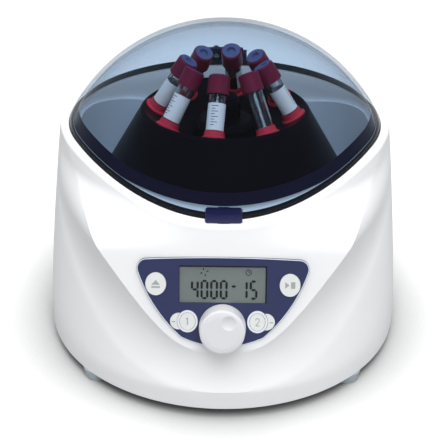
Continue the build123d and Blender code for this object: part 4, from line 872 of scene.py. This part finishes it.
# Six keys moulded in off-white plastic with a dull skin, which press in by 0.8 mm, and the pale, slightly
# glossy rings of the round ones. Each key has a small sign printed in pale matt grey.
KEY_TOP = 1.6
PILL_TOP = 1.3
KEY_SIGN_THICK = 0.04
STORE_KEY_X = 34.2
STORE_DASH_HALF = 1.3
STORE_DASH_UP = (-15.0, -14.3)
key_plastic = finish("off_white_key_plastic", "E6E9E8", "E0E3E3", 0.4, 0.6, 0.15)
bezel_plastic = finish("pale_ring_plastic", "EAECF3", "E4E7F0", 0.3, 0.8, 0.1)
key_ink = finish("pale_grey_key_ink", "A9AEA9", "A2A7A2", 0.5, 0.5, 0.05)
dress(["open_key", "start_key", "program_key_1", "program_key_2", "store_key_1", "store_key_2"], key_plastic)
dress(["key_bezels"], bezel_plastic)
open_sign = [[(-49.6, 11.6), (-43.6, 11.6), (-46.6, 15.0)], strip(-49.6, -43.6, 9.4, 10.6)]
start_sign = [[(43.2, 9.8), (46.2, 12.2), (43.2, 14.6)], strip(47.2, 50.2, 9.9, 14.5)]
one_sign = [bar(-24.4, -17.0, -24.4, -11.6, 0.8), bar(-25.5, -12.6, -24.4, -11.6, 0.6)]
two_sign = ring_marks(24.4, -13.0, 1.0, 0.6, -0.6, math.pi, 10)
two_sign += [bar(25.6, -13.9, 23.2, -16.8, 0.6), bar(23.0, -16.9, 26.0, -16.9, 0.6)]
dashes = [[strip(x - STORE_DASH_HALF, x + STORE_DASH_HALF, *STORE_DASH_UP)]
          for x in (-STORE_KEY_X, STORE_KEY_X)]
for name, sign, top in (("open_key", open_sign, KEY_TOP), ("start_key", start_sign, KEY_TOP),
                        ("program_key_1", one_sign, KEY_TOP), ("program_key_2", two_sign, KEY_TOP),
                        ("store_key_1", dashes[0], PILL_TOP), ("store_key_2", dashes[1], PILL_TOP)):
    face_marks(name + "_sign", sign, top, top + KEY_SIGN_THICK, key_ink, name + "_body")

# Setting knob: satin white ABS on a steel shaft, with a finger dimple near its edge. Its skin is a little
# greyer and duller than the shell's.
knob_plastic = finish("satin_white_knob", "E0E1E4", "DBDCE0", 0.36, 0.6, 0.12)
dress(["knob"], knob_plastic)

# Electronics and rear services: lacquered green boards on white nylon spacers, with parts, mains inlet and
# power switch moulded in black nylon. The lacquer has a soft shine, and the nylon is dull with a fine grain.
board_lacquer = finish("green_board_lacquer", "1F5A34", "184A2A", 0.35, 1.5, 0.3)
nylon = finish("white_nylon", "DDDCD4", "D2D1C8", 0.45, 1.0, 0.15)
black_plastic = finish("black_nylon", "1B1B1E", "222226", 0.42, 0.8, 0.25)
dress(["control_board", "supply_board"], board_lacquer)
dress(["board_spacers"], nylon)
dress(["key_switches", "encoder_body", "supply_parts", "power_inlet", "switch_frame", "power_rocker"],
      black_plastic)

# Studio floor: pale matt paper, wide enough to fill the camera's view. To the camera it is almost white, with
# painted shade that darkens it close under the body. To all other light it is a mid grey.
FLOOR_HALF = 4000.0
PAINTED_SHADE_REACH_M = 0.07
floor_corners = [(x, y, 0) for x, y in strip(-FLOOR_HALF, FLOOR_HALF, -FLOOR_HALF, FLOOR_HALF)]
floor = mesh_object("studio_floor", floor_corners, [(0, 1, 2, 3)])
floor_paper = finish("studio_floor_paper", "F6F6F6", None, 1.0, 30.0, 0.0, {"Specular IOR Level": 0.0})
tree = floor_paper.node_tree
ray = add(tree, "ShaderNodeLightPath")
# Painted shade: an ambient occlusion node darkens the floor's colour close under the body.
near = add(tree, "ShaderNodeAmbientOcclusion", {"Distance": PAINTED_SHADE_REACH_M}, samples=8)
painted_contact_shade = add(tree, "ShaderNodeMix", {"Factor": near.outputs["AO"], "A": linear("6A6B6D"),
                                      "B": linear("FBFBFB")}, data_type="RGBA")
seen = add(tree, "ShaderNodeMix", {"Factor": ray.outputs["Is Camera Ray"], "A": linear("B4B4B4"),
                                   "B": painted_contact_shade.outputs["Result"]}, data_type="RGBA")
tree.links.new(seen.outputs["Result"], tree.nodes["Principled BSDF"].inputs["Base Color"])
floor.data.materials.append(floor_paper)

# Studio light: a white surround, bright to the camera and faint as a light, and four soft square lamps. The
# largest hangs overhead, a smaller one stands at the front, and two weak ones fill the sides.
WORLD_LIGHT = 0.2
WORLD_SEEN = 0.9
world = bpy.data.worlds.new("studio")
bpy.context.scene.world = world
world.use_nodes = True
tree = world.node_tree
background = tree.nodes["Background"].inputs
background["Color"].default_value = (1.0, 1.0, 1.0, 1.0)
seen_ray = add(tree, "ShaderNodeLightPath")
brightness = add(tree, "ShaderNodeMath",
                 {0: seen_ray.outputs["Is Camera Ray"], 1: WORLD_SEEN - WORLD_LIGHT, 2: WORLD_LIGHT},
                 operation="MULTIPLY_ADD")
tree.links.new(brightness.outputs[0], background["Strength"])


def lamp(name, place, aim, size, power):
    """A soft square white lamp aimed at a point, with its place and size in metres and its power in watts."""
    data = bpy.data.lights.new(name, "AREA")
    data.size = size
    data.energy = power
    made = bpy.data.objects.new(name, data)
    made.location = place
    made.rotation_euler = (Vector(aim) - Vector(place)).to_track_quat("-Z", "Y").to_euler()
    made.visible_glossy = False
    bpy.context.scene.collection.objects.link(made)


lamp("overhead_lamp", (0.0, 0.4, 2.3), (0, 0.2, 0.0), 3.2, 66.0)
lamp("front_lamp", (0.1, -1.3, 1.4), (0, -0.05, 0.1), 1.0, 18.0)
lamp("left_lamp", (-1.6, -0.5, 0.5), (0, 0, 0.08), 1.0, 2.5)
lamp("right_lamp", (1.6, -0.5, 0.5), (0, 0, 0.08), 1.0, 3.5)

# Camera at the photograph's view, fitted to the round lid and the oval base. The lens and its shifts are
# given in the photograph's pixels.
PHOTO_PIXELS = 440
FOCAL_PIXELS = 1204
SHIFT_X_PIXELS = -3.0
SHIFT_Y_PIXELS = 55.0
SENSOR_MM = 36.0
CAMERA_PLACE = (0.0, -0.8436, 0.520)
CAMERA_ELEVATION = 30.0
CAMERA_ROLL = 0.7
camera_data = bpy.data.cameras.new("camera")
camera_data.sensor_width = SENSOR_MM
camera_data.lens = SENSOR_MM * FOCAL_PIXELS / PHOTO_PIXELS
camera_data.shift_x = SHIFT_X_PIXELS / PHOTO_PIXELS
camera_data.shift_y = SHIFT_Y_PIXELS / PHOTO_PIXELS
camera = bpy.data.objects.new("camera", camera_data)
tilt = Matrix.Rotation(math.radians(90 - CAMERA_ELEVATION), 4, "X")
roll = Matrix.Rotation(math.radians(CAMERA_ROLL), 4, "Z")
camera.matrix_world = Matrix.Translation(CAMERA_PLACE) @ (tilt @ roll)
bpy.context.scene.collection.objects.link(camera)
bpy.context.scene.camera = camera
bpy.context.scene.view_settings.view_transform = "Standard"
